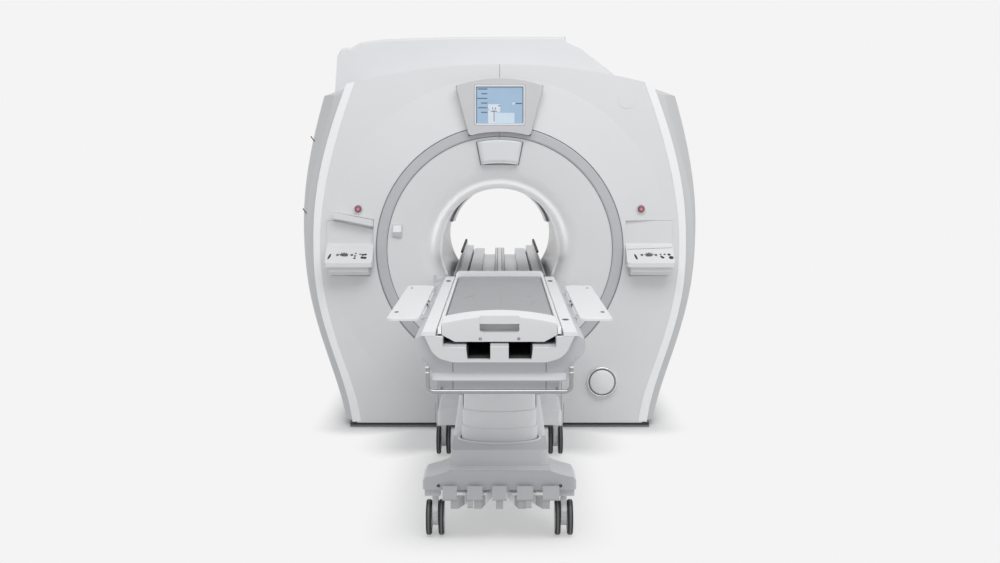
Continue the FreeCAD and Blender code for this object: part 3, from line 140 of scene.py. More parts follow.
class ScannerStudio(bpy.types.PropertyGroup):
    """Camera, floor and light."""

    lens: FloatProperty(name="Lens", description="Focal length", default=45, min=20, max=200, unit="CAMERA")
    camera_height: length("Camera height", "Height of the camera over the floor", 1.637)
    camera_y: FloatProperty(
        name="Camera Y", description="Place of the camera along the bore", default=-7.559, unit="LENGTH"
    )
    camera_dip: FloatProperty(
        name="Camera dip", description="How far the camera looks down", default=math.radians(6.005), subtype="ANGLE"
    )
    background: share("Background", "Brightness of the backdrop", 0.905)
    floor_tone: share("Floor tone", "Reflectance of the floor", 0.84)
    table_glow: share("Table glow", "How much of the floor under the table shows the backdrop", 0.42)
    shadow_reach: length("Shadow reach", "How far the shadow reaches past the table", 0.38)
    sky: FloatProperty(name="Sky", description="Light from all round", default=0.55, min=0)
    key: power("Key lamp", "Soft lamp over the front", 178)
    bore: power("Bore lamp", "Fill inside the bore", 1.25)


def finish():
    return bpy.context.scene.scanner_finish


def sizes():
    return bpy.context.scene.scanner_sizes


# ---------------------------------------------------------------- wiring of node trees
def opaque(tint):
    """A colour with its alpha. The output of a node stays as it is."""
    return tint if isinstance(tint, bpy.types.NodeSocket) else (*tint, 1)


class Wiring:
    """A node tree under construction."""

    def __init__(self, tree):
        self.tree = tree

    def feed(self, node, sockets):
        """Fills a node's sockets. Each takes a value, or the output it is joined to."""
        for name, value in sockets.items():
            if isinstance(value, bpy.types.NodeSocket):
                self.tree.links.new(value, node.inputs[name])
            else:
                node.inputs[name].default_value = value
        return node

    def node(self, kind, sockets=None, **properties):
        """Adds a node."""
        made = self.tree.nodes.new(kind)
        for name, value in properties.items():
            setattr(made, name, value)
        return self.feed(made, sockets or {})

    def group(self, tree, sockets):
        """The outputs of a shader group."""
        return self.node("ShaderNodeGroup", sockets, node_tree=tree).outputs

    def here(self):
        """Object coordinates."""
        return self.node("ShaderNodeTexCoord").outputs["Object"]

    def centred(self, here, middle):
        """A place counted from a middle."""
        return self.node("ShaderNodeMapping", {"Vector": here, "Location": -Vector(middle)}).outputs[0]

    def axis(self, vector, name):
        """One number of a vector."""
        return self.node("ShaderNodeSeparateXYZ", {0: vector}).outputs[name]

    def packed(self, **numbers):
        """A vector from its numbers."""
        return self.node("ShaderNodeCombineXYZ", numbers).outputs[0]

    def sum(self, kind, *values):
        """The result of a Math node."""
        return self.node("ShaderNodeMath", dict(enumerate(values)), operation=kind).outputs[0]

    def vector(self, kind, *values):
        """The result of a Vector Math node. SCALE takes a vector and a number, LENGTH gives a number."""
        sockets = {0: values[0], "Scale": values[1]} if kind == "SCALE" else dict(enumerate(values))
        made = self.node("ShaderNodeVectorMath", sockets, operation=kind)
        return made.outputs["Value" if kind == "LENGTH" else 0]

    def spread(self, value, low, high, to_low=0.0, to_high=1.0, curve="LINEAR"):
        """A value moved from one range to another, held at its ends."""
        sockets = {"Value": value, "From Min": low, "From Max": high, "To Min": to_low, "To Max": to_high}
        return self.node("ShaderNodeMapRange", sockets, interpolation_type=curve).outputs["Result"]

    def mix(self, part, first, second):
        """A colour between two others."""
        sockets = {"Factor": part, 6: opaque(first), 7: opaque(second)}
        return self.node("ShaderNodeMix", sockets, data_type="RGBA").outputs[2]

    def speckle(self, vector, scale, detail=2.0, roughness=0.5):
        """The grey output of a noise texture."""
        sockets = {"Vector": vector, "Scale": scale, "Detail": detail, "Roughness": roughness}
        return self.node("ShaderNodeTexNoise", sockets).outputs["Fac"]

    def drift(self, vector, scale, low, high):
        """A value that wanders between two others over the surface."""
        return self.spread(self.speckle(vector, scale), 0.3, 0.7, low, high)

    def on_points(self, points, instance, **sockets):
        """A copy of a shape on every point."""
        sockets.update(Points=points, Instance=instance)
        return self.node("GeometryNodeInstanceOnPoints", sockets).outputs[0]

    def pulled(self, mesh, selection, offset):
        """Faces pulled out together. Gives the outputs Mesh and Top."""
        sockets = {"Mesh": mesh, "Selection": selection, "Offset Scale": offset, "Individual": False}
        return self.node("GeometryNodeExtrudeMesh", sockets).outputs

    def top_scaled(self, outputs, scale):
        """The mesh of pulled(), with its top made wider or narrower."""
        sockets = {"Geometry": outputs["Mesh"], "Selection": outputs["Top"], "Scale": scale}
        return self.node("GeometryNodeScaleElements", sockets).outputs[0]

    def painted(self, geometry, start):
        """The end of every geometry tree: instances made real, with the tree's material."""
        real = self.node("GeometryNodeRealizeInstances", {"Geometry": geometry}).outputs[0]
        sockets = {"Geometry": real, "Material": start["Material"]}
        return {"Geometry": self.node("GeometryNodeSetMaterial", sockets).outputs[0]}


SHADER, GEOMETRY = "ShaderNodeTree", "GeometryNodeTree"
KINDS = {  # the trees' sockets that aren't plain numbers
    "Colour": "NodeSocketColor",
    "Dust": "NodeSocketColor",
    "Stretch": "NodeSocketVector",
    "Sides": "NodeSocketInt",
    "Rows": "NodeSocketInt",
    "Seed": "NodeSocketInt",
    "Geometry": "NodeSocketGeometry",
    "Material": "NodeSocketMaterial",
}


def tree_of(name, kind, inputs, *outputs):
    """Turns a function that wires a tree, and returns what its outputs take, into one that builds it once."""

    def decorate(wire):
        @wraps(wire)
        def built():
            if name in bpy.data.node_groups:
                return bpy.data.node_groups[name]
            tree = bpy.data.node_groups.new(name, kind)
            for label, value in inputs.items():
                socket = KINDS.get(label, "NodeSocketFloat")
                made = tree.interface.new_socket(label, in_out="INPUT", socket_type=socket)
                if value is not None:
                    made.default_value = value
            for label in outputs:
                socket = KINDS.get(label, "NodeSocketFloat")
                tree.interface.new_socket(label, in_out="OUTPUT", socket_type=socket)
            w = Wiring(tree)
            w.feed(w.node("NodeGroupOutput"), wire(w, w.node("NodeGroupInput").outputs))
            return tree

        return built

    return decorate


# ---------------------------------------------------------------- shader groups
@tree_of(
    "Moulded skin",
    SHADER,
    {
        "Colour": (0.8, 0.8, 0.8, 1),
        "Drift": 0.02,
        "Roughness": 0.4,
        "Unevenness": 0.05,
        "Grain size": 0.0016,
        "Grain depth": 0.00002,
    },
    "Colour",
    "Roughness",
    "Height",
)
def moulded_skin(w, start):
    """Moulded or painted skin: tone that drifts slowly, uneven gloss and a fine grain."""
    here = w.here()
    low, high = (w.sum(kind, 1.0, start["Drift"]) for kind in ("SUBTRACT", "ADD"))
    tone = w.spread(w.speckle(here, 1.7, 3.0), 0.3, 0.7, low, high)
    smear = w.sum("SUBTRACT", w.speckle(here, 7.0, 4.0, 0.6), 0.5)
    grain = w.speckle(here, w.sum("DIVIDE", 1.0, start["Grain size"]), 2.0, 0.6)
    return {
        "Colour": w.vector("SCALE", start["Colour"], tone),
        "Roughness": w.sum("MULTIPLY_ADD", smear, start["Unevenness"], start["Roughness"]),
        "Height": w.sum("MULTIPLY", grain, start["Grain depth"]),
    }


@tree_of(
    "Floor dust",
    SHADER,
    {"Colour": (0.1, 0.1, 0.1, 1), "Dust": (0.35, 0.34, 0.33, 1), "Reach": 0.15, "Amount": 0.2},
    "Colour",
)
def floor_dust(w, start):
    """Dust that settles on what stands near the floor."""
    here = w.here()
    fade = w.spread(w.axis(here, "Z"), 0.0, start["Reach"], start["Amount"], 0.0)
    mask = w.sum("MULTIPLY", fade, w.spread(w.speckle(here, 60.0, 4.0), 0.35, 0.7, 0.3, 1.0))
    return {"Colour": w.mix(mask, start["Colour"], start["Dust"])}


@tree_of(
    "Drawn metal",
    SHADER,
    {"Stretch": (4.0, 900.0, 900.0), "Roughness": 0.2, "Unevenness": 0.1, "Depth": 0.00001},
    "Roughness",
    "Height",
)
def drawn_metal(w, start):
    """Fine lines left by drawing or polishing, stretched along one axis."""
    lines = w.speckle(w.vector("MULTIPLY", w.here(), start["Stretch"]), 1.0)
    centred = w.sum("SUBTRACT", lines, 0.5)
    return {
        "Roughness": w.sum("MULTIPLY_ADD", centred, start["Unevenness"], start["Roughness"]),
        "Height": w.sum("MULTIPLY", lines, start["Depth"]),
    }


# ---------------------------------------------------------------- materials
class Surface(Wiring):
    """A material under construction."""

    def __init__(self, name):
        self.material = bpy.data.materials.new(name)
        self.material.use_nodes = True
        super().__init__(self.material.node_tree)
        self.shader = self.tree.nodes["Principled BSDF"]

    def done(self, sockets, height=None):
        """Feeds the shader, with a height in metres for its normal. Returns the material."""
        self.feed(self.shader, sockets)
        if height is not None:
            bump = self.node("ShaderNodeBump", {"Height": height, "Distance": 1.0})
            self.feed(self.shader, {"Normal": bump.outputs["Normal"]})
        return self.material

    def lit(self, tint, shade, strength, under, roughness):
        """Ends as a lit surface under smooth glass."""
        sockets = {"Emission Color": self.vector("SCALE", tuple(tint), shade), "Emission Strength": strength}
        return self.done({**sockets, "Base Color": opaque(under), "Roughness": roughness})

    def off_axis(self, here, middle, plane):
        """A place counted from a middle, and its distance from the axis that is square to a plane."""
        centred = self.centred(here, middle)
        return centred, self.vector("LENGTH", self.vector("MULTIPLY", centred, plane))


DUST_REACH = 0.25  # height (m) up to which dust settles


def plastic(name, tint, roughness, drift=0.015, coat=0.0, grain=1.0, dust=0.0):
    """Moulded plastic or paint. The tint is a colour or wires one. dust above zero adds floor dust."""
    w, f = Surface(name), finish()
    skin = w.group(
        moulded_skin(),
        {
            "Colour": tint(w) if callable(tint) else opaque(tint),
            "Drift": drift,
            "Roughness": roughness,
            "Unevenness": 0.06,
            "Grain size": f.grain_size * grain,
            "Grain depth": f.grain_depth * grain,
        },
    )
    tinted = skin["Colour"]
    if dust:
        tinted = w.group(floor_dust(), {"Colour": tinted, "Reach": DUST_REACH, "Amount": dust})["Colour"]
    sockets = {"Base Color": tinted, "Roughness": skin["Roughness"], "Coat Weight": coat, "Coat Roughness": 0.12}
    return w.done(sockets, skin["Height"])


def along_y(name, near, far, low, high, rake=0.0):
    """Moulded plastic whose tone passes from near to far between two places on the Y axis, or a raked one. The base,
    the bridge rails and the foot panel use it for painted shade.
    """

    def passing(w):
        here = w.here()
        depth = w.sum("MULTIPLY_ADD", w.axis(here, "Z"), -rake, w.axis(here, "Y"))
        return w.mix(w.spread(depth, low, high), near, far)

    return plastic(name, passing, 0.40, dust=0.04)


def metal(name, tint, roughness):
    """Bare metal with fine drawn lines."""
    w = Surface(name)
    lines = w.group(drawn_metal(), {"Roughness": roughness})
    sockets = {"Base Color": opaque(tint), "Metallic": 1.0, "Roughness": lines["Roughness"]}
    return w.done(sockets, lines["Height"])


def stop_button(name, tint, middle):
    """A red button with a painted highlight that makes its middle pale, and dark round its rim."""
    w = Surface(name)
    here = w.here()
    _, radius = w.off_axis(here, middle, (1, 0, 1))
    # Painted highlight: the button's middle is made paler, as if lit, and a little rougher.
    pale_middle = w.sum("MULTIPLY", w.spread(radius, 0.003, 0.011, 1.0, 0.0), w.drift(here, 160.0, 0.7, 1.0))
    face = w.mix(pale_middle, tint, (0.68, 0.40, 0.46))
    red = w.mix(w.spread(radius, 0.0150, 0.0185), face, (0.16, 0.10, 0.11))
    grain = w.sum("MULTIPLY", w.speckle(here, 700.0), 0.00002)
    return w.done({"Base Color": red, "Roughness": w.spread(pale_middle, 0.0, 1.0, 0.28, 0.42)}, grain)


HUB_RADIUS = 0.0590  # where a wheel's grey hub ends (m)
TYRE_MIDDLE = 0.027  # how far each tyre's middle lies from the fork's (m)


def caster_wheel(name, axle):
    """Black tread round a grey hub, told apart by the distance from the axle."""
    w, f = Surface(name), finish()
    here = w.here()
    centred, radius = w.off_axis(here, axle, (0, 1, 1))
    tread = w.spread(radius, HUB_RADIUS, HUB_RADIUS + 0.0006)
    # The tread of each tyre is paler grey along its middle and black towards its edges.
    off_middle = w.sum("SUBTRACT", w.sum("ABSOLUTE", w.axis(centred, "X")), TYRE_MIDDLE)
    pale_middle = w.spread(w.sum("ABSOLUTE", off_middle), 0.0020, 0.0045, 1.0, 0.0)
    tyre = w.mix(pale_middle, f.rubber, (0.15, 0.15, 0.155))
    dusty = w.group(floor_dust(), {"Colour": w.mix(tread, f.steel, tyre), "Reach": 0.16, "Amount": 0.03})
    grain = w.sum("MULTIPLY", w.speckle(here, 420.0, 3.0), 0.00012)
    return w.done({"Base Color": dusty["Colour"], "Roughness": w.spread(tread, 0.0, 1.0, 0.42, 0.62)}, grain)


def lit_glass(name, tint):
    """The display: a lit field with painted shade along its top and side edges, under smooth glass."""
    w = Surface(name)
    here = w.here()
    _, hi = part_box("display_screen")
    # Painted shade where the frame shades the glass: darker along the top and both sides.
    top = w.spread(w.axis(here, "Z"), hi.z - 0.012, hi.z - 0.003, 1.0, 0.35)
    sides = w.spread(w.sum("ABSOLUTE", w.axis(here, "X")), hi.x - 0.010, hi.x - 0.003, 1.0, 0.40)
    shade = w.sum("MULTIPLY", w.sum("MULTIPLY", top, sides), w.drift(here, 9.0, 0.97, 1.03))
    return w.lit(tint, shade, 0.92, (0.01, 0.012, 0.015), w.drift(here, 30.0, 0.10, 0.16))


def lit_field(name, tint, level):
    """One lit field of the display, with a faint unevenness."""
    w = Surface(name)
    here = w.here()
    shade = w.drift(here, 40.0, level * 0.96, level)
    return w.lit(tint, shade, 0.8, (0.02, 0.02, 0.025), w.drift(here, 30.0, 0.12, 0.18))


WEAVE_PITCH = 0.0011  # from thread to thread (m)


def coated_cushion(name, tint):
    """Wipe-clean coated fabric: a fine cross weave under a soft sheen."""
    w = Surface(name)
    here = w.here()
    coat = {"Drift": 0.035, "Roughness": 0.5, "Unevenness": 0.12, "Grain size": 0.004, "Grain depth": 0.00008}
    skin = w.group(moulded_skin(), {"Colour": opaque(tint), **coat})
    wave = 2 * math.pi / WEAVE_PITCH
    weft, warp = (w.sum("SINE", w.sum("MULTIPLY", w.axis(here, letter), wave)) for letter in "XY")
    weave = w.sum("MULTIPLY", w.sum("MULTIPLY", weft, warp), 0.00003)
    sockets = {"Base Color": skin["Colour"], "Roughness": skin["Roughness"], "Sheen Weight": 0.15}
    return w.done(sockets, w.sum("ADD", weave, skin["Height"]))


def dress(node, material):
    """Puts one material on a CAD node."""
    piece = frame["nodes"][node]
    if not piece.material_slots:
        piece.data.materials.append(material)
    for entry in piece.material_slots:
        entry.material = material


def dress_slots(finishes):
    """Gives each CAD node whose record slot is listed its material."""
    parts = [part for part in frame["record"]["subparts"] if part["material_slot"] in finishes]
    if not parts:
        raise RuntimeError("no CAD node takes these finishes")
    for part in parts:
        dress(part["node"], finishes[part["material_slot"]])


# ---------------------------------------------------------------- mesh helpers
def linked(name, data):
    """A new object in the scene."""
    made = bpy.data.objects.new(name, data)
    bpy.context.scene.collection.objects.link(made)
    return made


def new_piece(name, mesh, body, slot, material=None):
    """Links a mesh as a named piece that rides on a body. A grown mesh brings its own material."""
    made = linked(name, mesh)
    if material is not None:
        mesh.materials.append(material)
    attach(made, body)
    return made


def closed_mesh(name, points, faces):
    """A smooth mesh with its doubles merged and its faces turned outwards."""
    mesh = bpy.data.meshes.new(name)
    mesh.from_pydata(points, [], faces)
    work = bmesh.new()
    work.from_mesh(mesh)
    bmesh.ops.remove_doubles(work, verts=work.verts, dist=1e-6)
    bmesh.ops.recalc_face_normals(work, faces=work.faces)
    work.to_mesh(mesh)
    work.free()
    for face in mesh.polygons:
        face.use_smooth = True
    return mesh


def closed_sheet(name, across, up, spot):
    """Two sheets closed at their rims. spot(u, v, far) gives a point, with u and v from -1 to 1."""
    us, vs = np.linspace(-1, 1, across), np.linspace(-1, 1, up)
    points = [spot(u, v, far) for far in (False, True) for v in vs for u in us]
    sheet = across * up
    faces = []
    for j in range(up - 1):
        for i in range(across - 1):
            a = j * across + i
            b = sheet + a
            faces.append((a, a + 1, a + across + 1, a + across))
            faces.append((b, b + across, b + across + 1, b + 1))
    rim = [*range(across)] + [j * across + across - 1 for j in range(1, up)]
    rim += [(up - 1) * across + i for i in range(across - 2, -1, -1)] + [j * across for j in range(up - 2, 0, -1)]
    faces += [(a, sheet + a, sheet + b, b) for a, b in zip(rim, rim[1:] + rim[:1])]
    return closed_mesh(name, points, faces)


def grown(name, body, slot, carrier_mesh, tree, **inputs):
    """Runs a geometry node tree over a carrier mesh and keeps the result as a piece of a body."""
    carrier = linked(name + "_carrier", carrier_mesh)
    modifier = carrier.modifiers.new("grow", "NODES")
    modifier.node_group = tree
    for item in tree.interface.items_tree:
        if item.item_type == "SOCKET" and item.in_out == "INPUT" and item.name in inputs:
            modifier[item.identifier] = inputs[item.name]
    carrier.update_tag()
    bpy.context.view_layer.update()
    mesh = bpy.data.meshes.new_from_object(carrier.evaluated_get(bpy.context.evaluated_depsgraph_get()))
    bpy.data.objects.remove(carrier)
    mesh.name = name
    if not mesh.polygons:
        raise RuntimeError(f"{name} grew no faces")
    return new_piece(name, mesh, body, slot)


# ---------------------------------------------------------------- geometry node trees
@tree_of(
    "Studs",
    GEOMETRY,
    {"Geometry": None, "Sides": 24, "Bevel": 0.86, "Socket": 0.5, "Material": None},
    "Geometry",
)
def stud_tree(w, start):
    """A bevelled stud on every point, turned by "pose" and sized by "span", with an optional socket in its head."""
    size = {"Vertices": start["Sides"], "Radius": 1.0, "Depth": 0.6}
    plug = w.node("GeometryNodeMeshCylinder", size, fill_type="NGON")
    up = w.axis(w.node("GeometryNodeInputNormal").outputs[0], "Z")
    top = w.node("FunctionNodeCompare", {"A": up, "B": 0.9}, data_type="FLOAT", operation="GREATER_THAN")
    raised = w.pulled(plug.outputs["Mesh"], top.outputs[0], 0.4)
    rim = w.pulled(w.top_scaled(raised, start["Bevel"]), raised["Top"], 0.001)
    socket = w.pulled(w.top_scaled(rim, 0.62), rim["Top"], w.sum("MULTIPLY", start["Socket"], -1.0))
    pose, span = (
        w.node("GeometryNodeInputNamedAttribute", {"Name": name}, data_type="FLOAT_VECTOR").outputs[0]
        for name in ("pose", "span")
    )
    return w.painted(w.on_points(start["Geometry"], socket["Mesh"], Rotation=pose, Scale=span), start)


@tree_of("Beads", GEOMETRY, {"Geometry": None, "Radius": 0.001, "Sides": 6, "Material": None}, "Geometry")
def bead_tree(w, start):
    """A fine round bead along every edge, for seams, lips and printed lines."""
    path = w.node("GeometryNodeMeshToCurve", {"Mesh": start["Geometry"]}).outputs[0]
    ring = {"Resolution": start["Sides"], "Radius": start["Radius"]}
    profile = w.node("GeometryNodeCurvePrimitiveCircle", ring).outputs[0]
    swept = w.node("GeometryNodeCurveToMesh", {"Curve": path, "Profile Curve": profile, "Fill Caps": True})
    return w.painted(swept.outputs[0], start)


@tree_of(
    "Label rows",
    GEOMETRY,
    {
        "Geometry": None,
        "Rows": 6,
        "Pitch": 0.018,
        "Shortest": 0.018,
        "Longest": 0.042,
        "Height": 0.0045,
        "Depth": 0.0004,
        "Seed": 4,
        "Material": None,
    },
    "Geometry",
)
def label_tree(w, start):
    """Rows of short bars that share their right end, each with a length of its own."""
    step = w.packed(Z=w.sum("MULTIPLY", start["Pitch"], -1.0))
    line = w.node("GeometryNodeMeshLine", {"Count": start["Rows"], "Offset": step}).outputs[0]
    rows = w.node("GeometryNodeRealizeInstances", {"Geometry": w.on_points(start["Geometry"], line)}).outputs[0]
    between = {2: start["Shortest"], 3: start["Longest"], "Seed": start["Seed"]}
    wide = w.node("FunctionNodeRandomValue", between, data_type="FLOAT").outputs[1]
    back = w.packed(X=w.sum("MULTIPLY", wide, -0.5))
    moved = w.node("GeometryNodeSetPosition", {"Geometry": rows, "Offset": back}).outputs[0]
    bar = w.node("GeometryNodeMeshCube", {"Size": (1.0, 1.0, 1.0)}).outputs["Mesh"]
    size = w.packed(X=wide, Y=start["Depth"], Z=start["Height"])
    return w.painted(w.on_points(moved, bar, Scale=size), start)


# ---------------------------------------------------------------- like pieces in rows (drawing, mm)
def twins(*pairs):
    """Pairs of points on the right, each with its mirror image on the left."""
    return [((side * a[0], *a[1:]), (side * b[0], *b[1:])) for a, b in pairs for side in SIDES]


def mark(x, y, z, facing, half_x, half_y, thick, roll=0.0):
    """One stud: its place, the way it faces, its half sizes and its roll."""
    return place(x, y, z), facing, roll, (half_x / 1000, half_y / 1000, thick / 1000)


def studs(name, body, slot, material, marks, sides=24, bevel=0.86, socket=0.0):
    """Grows a group of studs as one piece of a body."""
    mesh = bpy.data.meshes.new(name)
    mesh.from_pydata([spot for spot, _, _, _ in marks], [], [])
    poses, spans = [], []
    for _, facing, roll, span in marks:
        turn = Vector(facing).to_track_quat("Z", "Y").to_matrix() @ Matrix.Rotation(roll, 3, "Z")
        poses.extend(turn.to_euler())
        spans.extend(span)
    mesh.attributes.new("pose", "FLOAT_VECTOR", "POINT").data.foreach_set("vector", poses)
    mesh.attributes.new("span", "FLOAT_VECTOR", "POINT").data.foreach_set("vector", spans)
    grown(name, body, slot, mesh, stud_tree(), Sides=sides, Bevel=bevel, Socket=socket, Material=material)


def beads(name, body, slot, material, paths, radius):
    """Grows fine beads along open paths as one piece of a body. The radius is in metres."""
    points, edges = [], []
    for path in paths:
        first = len(points)
        points.extend(place(*spot) for spot in path)
        edges.extend((i, i + 1) for i in range(first, len(points) - 1))
    mesh = bpy.data.meshes.new(name)
    mesh.from_pydata(points, edges, [])
    grown(name, body, slot, mesh, bead_tree(), Radius=radius, Sides=6, Material=material)


def slabs(name, body, slot, material, boxes, bevel=0.0004):
    """Thin bevelled slabs, each from its two corners, as one piece of a body. The bevel is in metres."""
    work = bmesh.new()
    for low, high in boxes:
        a, b = place(*low), place(*high)
        lo, hi = Vector(map(min, a, b)), Vector(map(max, a, b))
        cut = min(bevel, *((hi - lo) * 0.3))
        corners = []
        for x, y, z in product(*zip(lo, hi)):
            in_x, in_y, in_z = (v + cut if v == edge else v - cut for v, edge in zip((x, y, z), lo))
            corners += [(in_x, in_y, z), (in_x, y, in_z), (x, in_y, in_z)]
        bmesh.ops.convex_hull(work, input=[work.verts.new(spot) for spot in corners])
    bmesh.ops.recalc_face_normals(work, faces=work.faces)
    mesh = bpy.data.meshes.new(name)
    work.to_mesh(mesh)
    work.free()
    new_piece(name, mesh, body, slot, material)


# ---------------------------------------------------------------- operators: finishes of the CAD nodes
WORDS = ("left", "right")
CASTERS = ("foot_left", "foot_right", "head_left", "head_right")
HOOD_RAKE = 0.55  # how far the foot panel's face runs back for each step up
PEDAL_PAD = 0.032  # length of a pedal's darker pad (m)
DECK_WHITE = (0.90, 0.902, 0.91)
COLUMN_WHITE = (0.90, 0.903, 0.91)
FAR_WHITE = (0.92, 0.922, 0.93)  # the pale far end of the bridge rail's painted shade, which darkens towards the foot; also the pedals' pale levers


class SCANNER_OT_finish_covers(bpy.types.Operator):
    """Finish the gantry's moulded covers, ring and display surround"""

    bl_idname = "scanner.finish_covers"
    bl_label = "Gantry covers"

    def execute(self, context):
        f = finish()
        duller = f.cover_gloss + 0.04
        dress_slots(
            {
                "white_cover": plastic("White cover", f.cover, f.cover_gloss, coat=0.15),
                "pale_cover": plastic("Pale cover", f.flank, duller),
                "ring_grey": plastic("Grey ring", f.ring, 0.38),
                "bezel_warm": plastic("Warm bezel", f.bezel, 0.40),
            }
        )
        dress("bore_flare", plastic("Funnel", f.cover, 0.30, coat=0.5))
        dress("edge_stripes", plastic("Bright stripe", f.stripe, 0.36, drift=0.005))
        dress("top_housing", plastic("Roof cover", f.roof, duller))
        return {"FINISHED"}


class SCANNER_OT_finish_inside(bpy.types.Operator):
    """Finish the magnet, coil and plinth behind the covers"""

    bl_idname = "scanner.finish_inside"
    bl_label = "Magnet and plinth"

    def execute(self, context):
        dress_slots(
            {
                "magnet_metal": metal("Vessel steel", (0.55, 0.56, 0.58), 0.42),
                "coil_resin": plastic("Cast resin", (0.40, 0.27, 0.14), 0.5, drift=0.06),
                "dark_plinth": plastic("Plinth paint", (0.16, 0.16, 0.165), 0.55, dust=0.25),
            }
        )
        return {"FINISHED"}


class SCANNER_OT_finish_table(bpy.types.Operator):
    """Finish the table's shroud, base, cradle and the bridge"""

    bl_idname = "scanner.finish_table"
    bl_label = "Table and bridge"

    def execute(self, context):
        f = finish()
        pad_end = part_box("pedal_3")[0].y + PEDAL_PAD
        # where the base's painted shade passes from its darker front to its lighter top
        slope = (place(0, -2119, 0).y, place(0, -2095, 0).y)
        dress_slots(
            {
                "shroud_grey": plastic("Shroud", f.shroud, 0.40),
                # painted shade: the base's front darker than its top and hub
                "base_grey": along_y("Base cover", f.base, f.base_top, *slope),
                "cradle_pale": plastic("Cradle tray", f.tray, 0.34, coat=0.2),
                # painted shade: the rail darkens from its far end towards the foot, inside the bore
                "bridge_pale": along_y("Bridge rail", (0.35, 0.353, 0.36), FAR_WHITE, -0.1, 1.9),
                "pedal_white": along_y("Pedal", (0.45, 0.455, 0.465), FAR_WHITE, pad_end, pad_end + 0.003),
            }
        )
        dress("deck", plastic("White deck", DECK_WHITE, 0.34, drift=0.008))
        for word in WORDS:
            dress("arm_board_" + word, plastic("Board " + word, DECK_WHITE, 0.34, drift=0.008))
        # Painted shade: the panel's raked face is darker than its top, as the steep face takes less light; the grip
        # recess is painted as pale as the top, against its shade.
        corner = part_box("foot_panel")[0]
        face = corner.y - HOOD_RAKE * corner.z
        raked = along_y("Foot panel", (0.64, 0.642, 0.65), COLUMN_WHITE, face + 0.003, face + 0.012, HOOD_RAKE)
        dress("foot_panel", raked)
        dress("bore_tube", plastic("Bore wall", (0.60, 0.605, 0.615), 0.30, coat=0.3))
        dress("port_dome", plastic("Port lid", (0.86, 0.863, 0.87), 0.25, coat=0.6))
        dress("head_base_cover", plastic("Head base cover", (0.97, 0.972, 0.98), 0.36))
        for sleeve in ("lower_sleeve", "middle_sleeve", "upper_sleeve"):
            dress(sleeve, plastic("Column " + sleeve, COLUMN_WHITE, 0.34, coat=0.2))
        return {"FINISHED"}


class SCANNER_OT_finish_rolling(bpy.types.Operator):
    """Finish the casters, strips and metal parts"""

    bl_idname = "scanner.finish_rolling"
    bl_label = "Casters and metal"

    def execute(self, context):
        f = finish()
        dress_slots(
            {
                "steel_paint": plastic("Fork paint", f.steel, 0.36, dust=0.12),
                "handle_chrome": metal("Polished tube", (0.36, 0.365, 0.37), 0.16),
                "black_rubber": plastic("Strip rubber", f.rubber, 0.7, grain=2.0),
                "dark_trim": plastic("Dark trim", (0.035, 0.035, 0.04), 0.45),
            }
        )
        for corner in CASTERS:
            lo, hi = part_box("wheels_" + corner)
            dress("wheels_" + corner, caster_wheel("Caster " + corner, (lo + hi) / 2))
        return {"FINISHED"}


class SCANNER_OT_finish_controls(bpy.types.Operator):
    """Finish the keys, stop buttons and display glass"""

    bl_idname = "scanner.finish_controls"
    bl_label = "Controls"

    def execute(self, context):
        f = finish()
        key = plastic("Key cap", (0.10, 0.10, 0.11), 0.45)
        dress_slots({"key_grey": key, "screen": lit_glass("Display glass", f.display)})
        for word in WORDS:
            lo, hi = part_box("estop_" + word)
            dress("estop_" + word, stop_button("Stop button " + word, f.stop, (lo + hi) / 2))
        return {"FINISHED"}


# ---------------------------------------------------------------- operators: pieces
CUSHION_GRID = (97, 353)  # points across and along
CUSHION_CORNER = 0.012  # radius of its upper edges (m)
CUSHION_CLEAR = 0.0008  # to the tray's sides (m)
CREASE_WIDTH = 0.006
RIPPLE = 0.0006  # height of the cover's slow unevenness (m)
CREASES = (  # start and end of each crease from the cushion's middle (mm), and its depth as a share
    ((-182, -175.5), (-118, -15.5), 1.0),
    ((-150, -100.5), (-128, -40.5), 0.6),
    ((0, -590.5), (0, 9.5), 0.45),
    ((128, -510.5), (158, -320.5), 1.0),
    ((146, -340.5), (172, -240.5), 0.7),
    ((128, -75.5), (160, -140.5), 0.6),
    ((-118, -730.5), (-140, -690.5), 0.5),
)


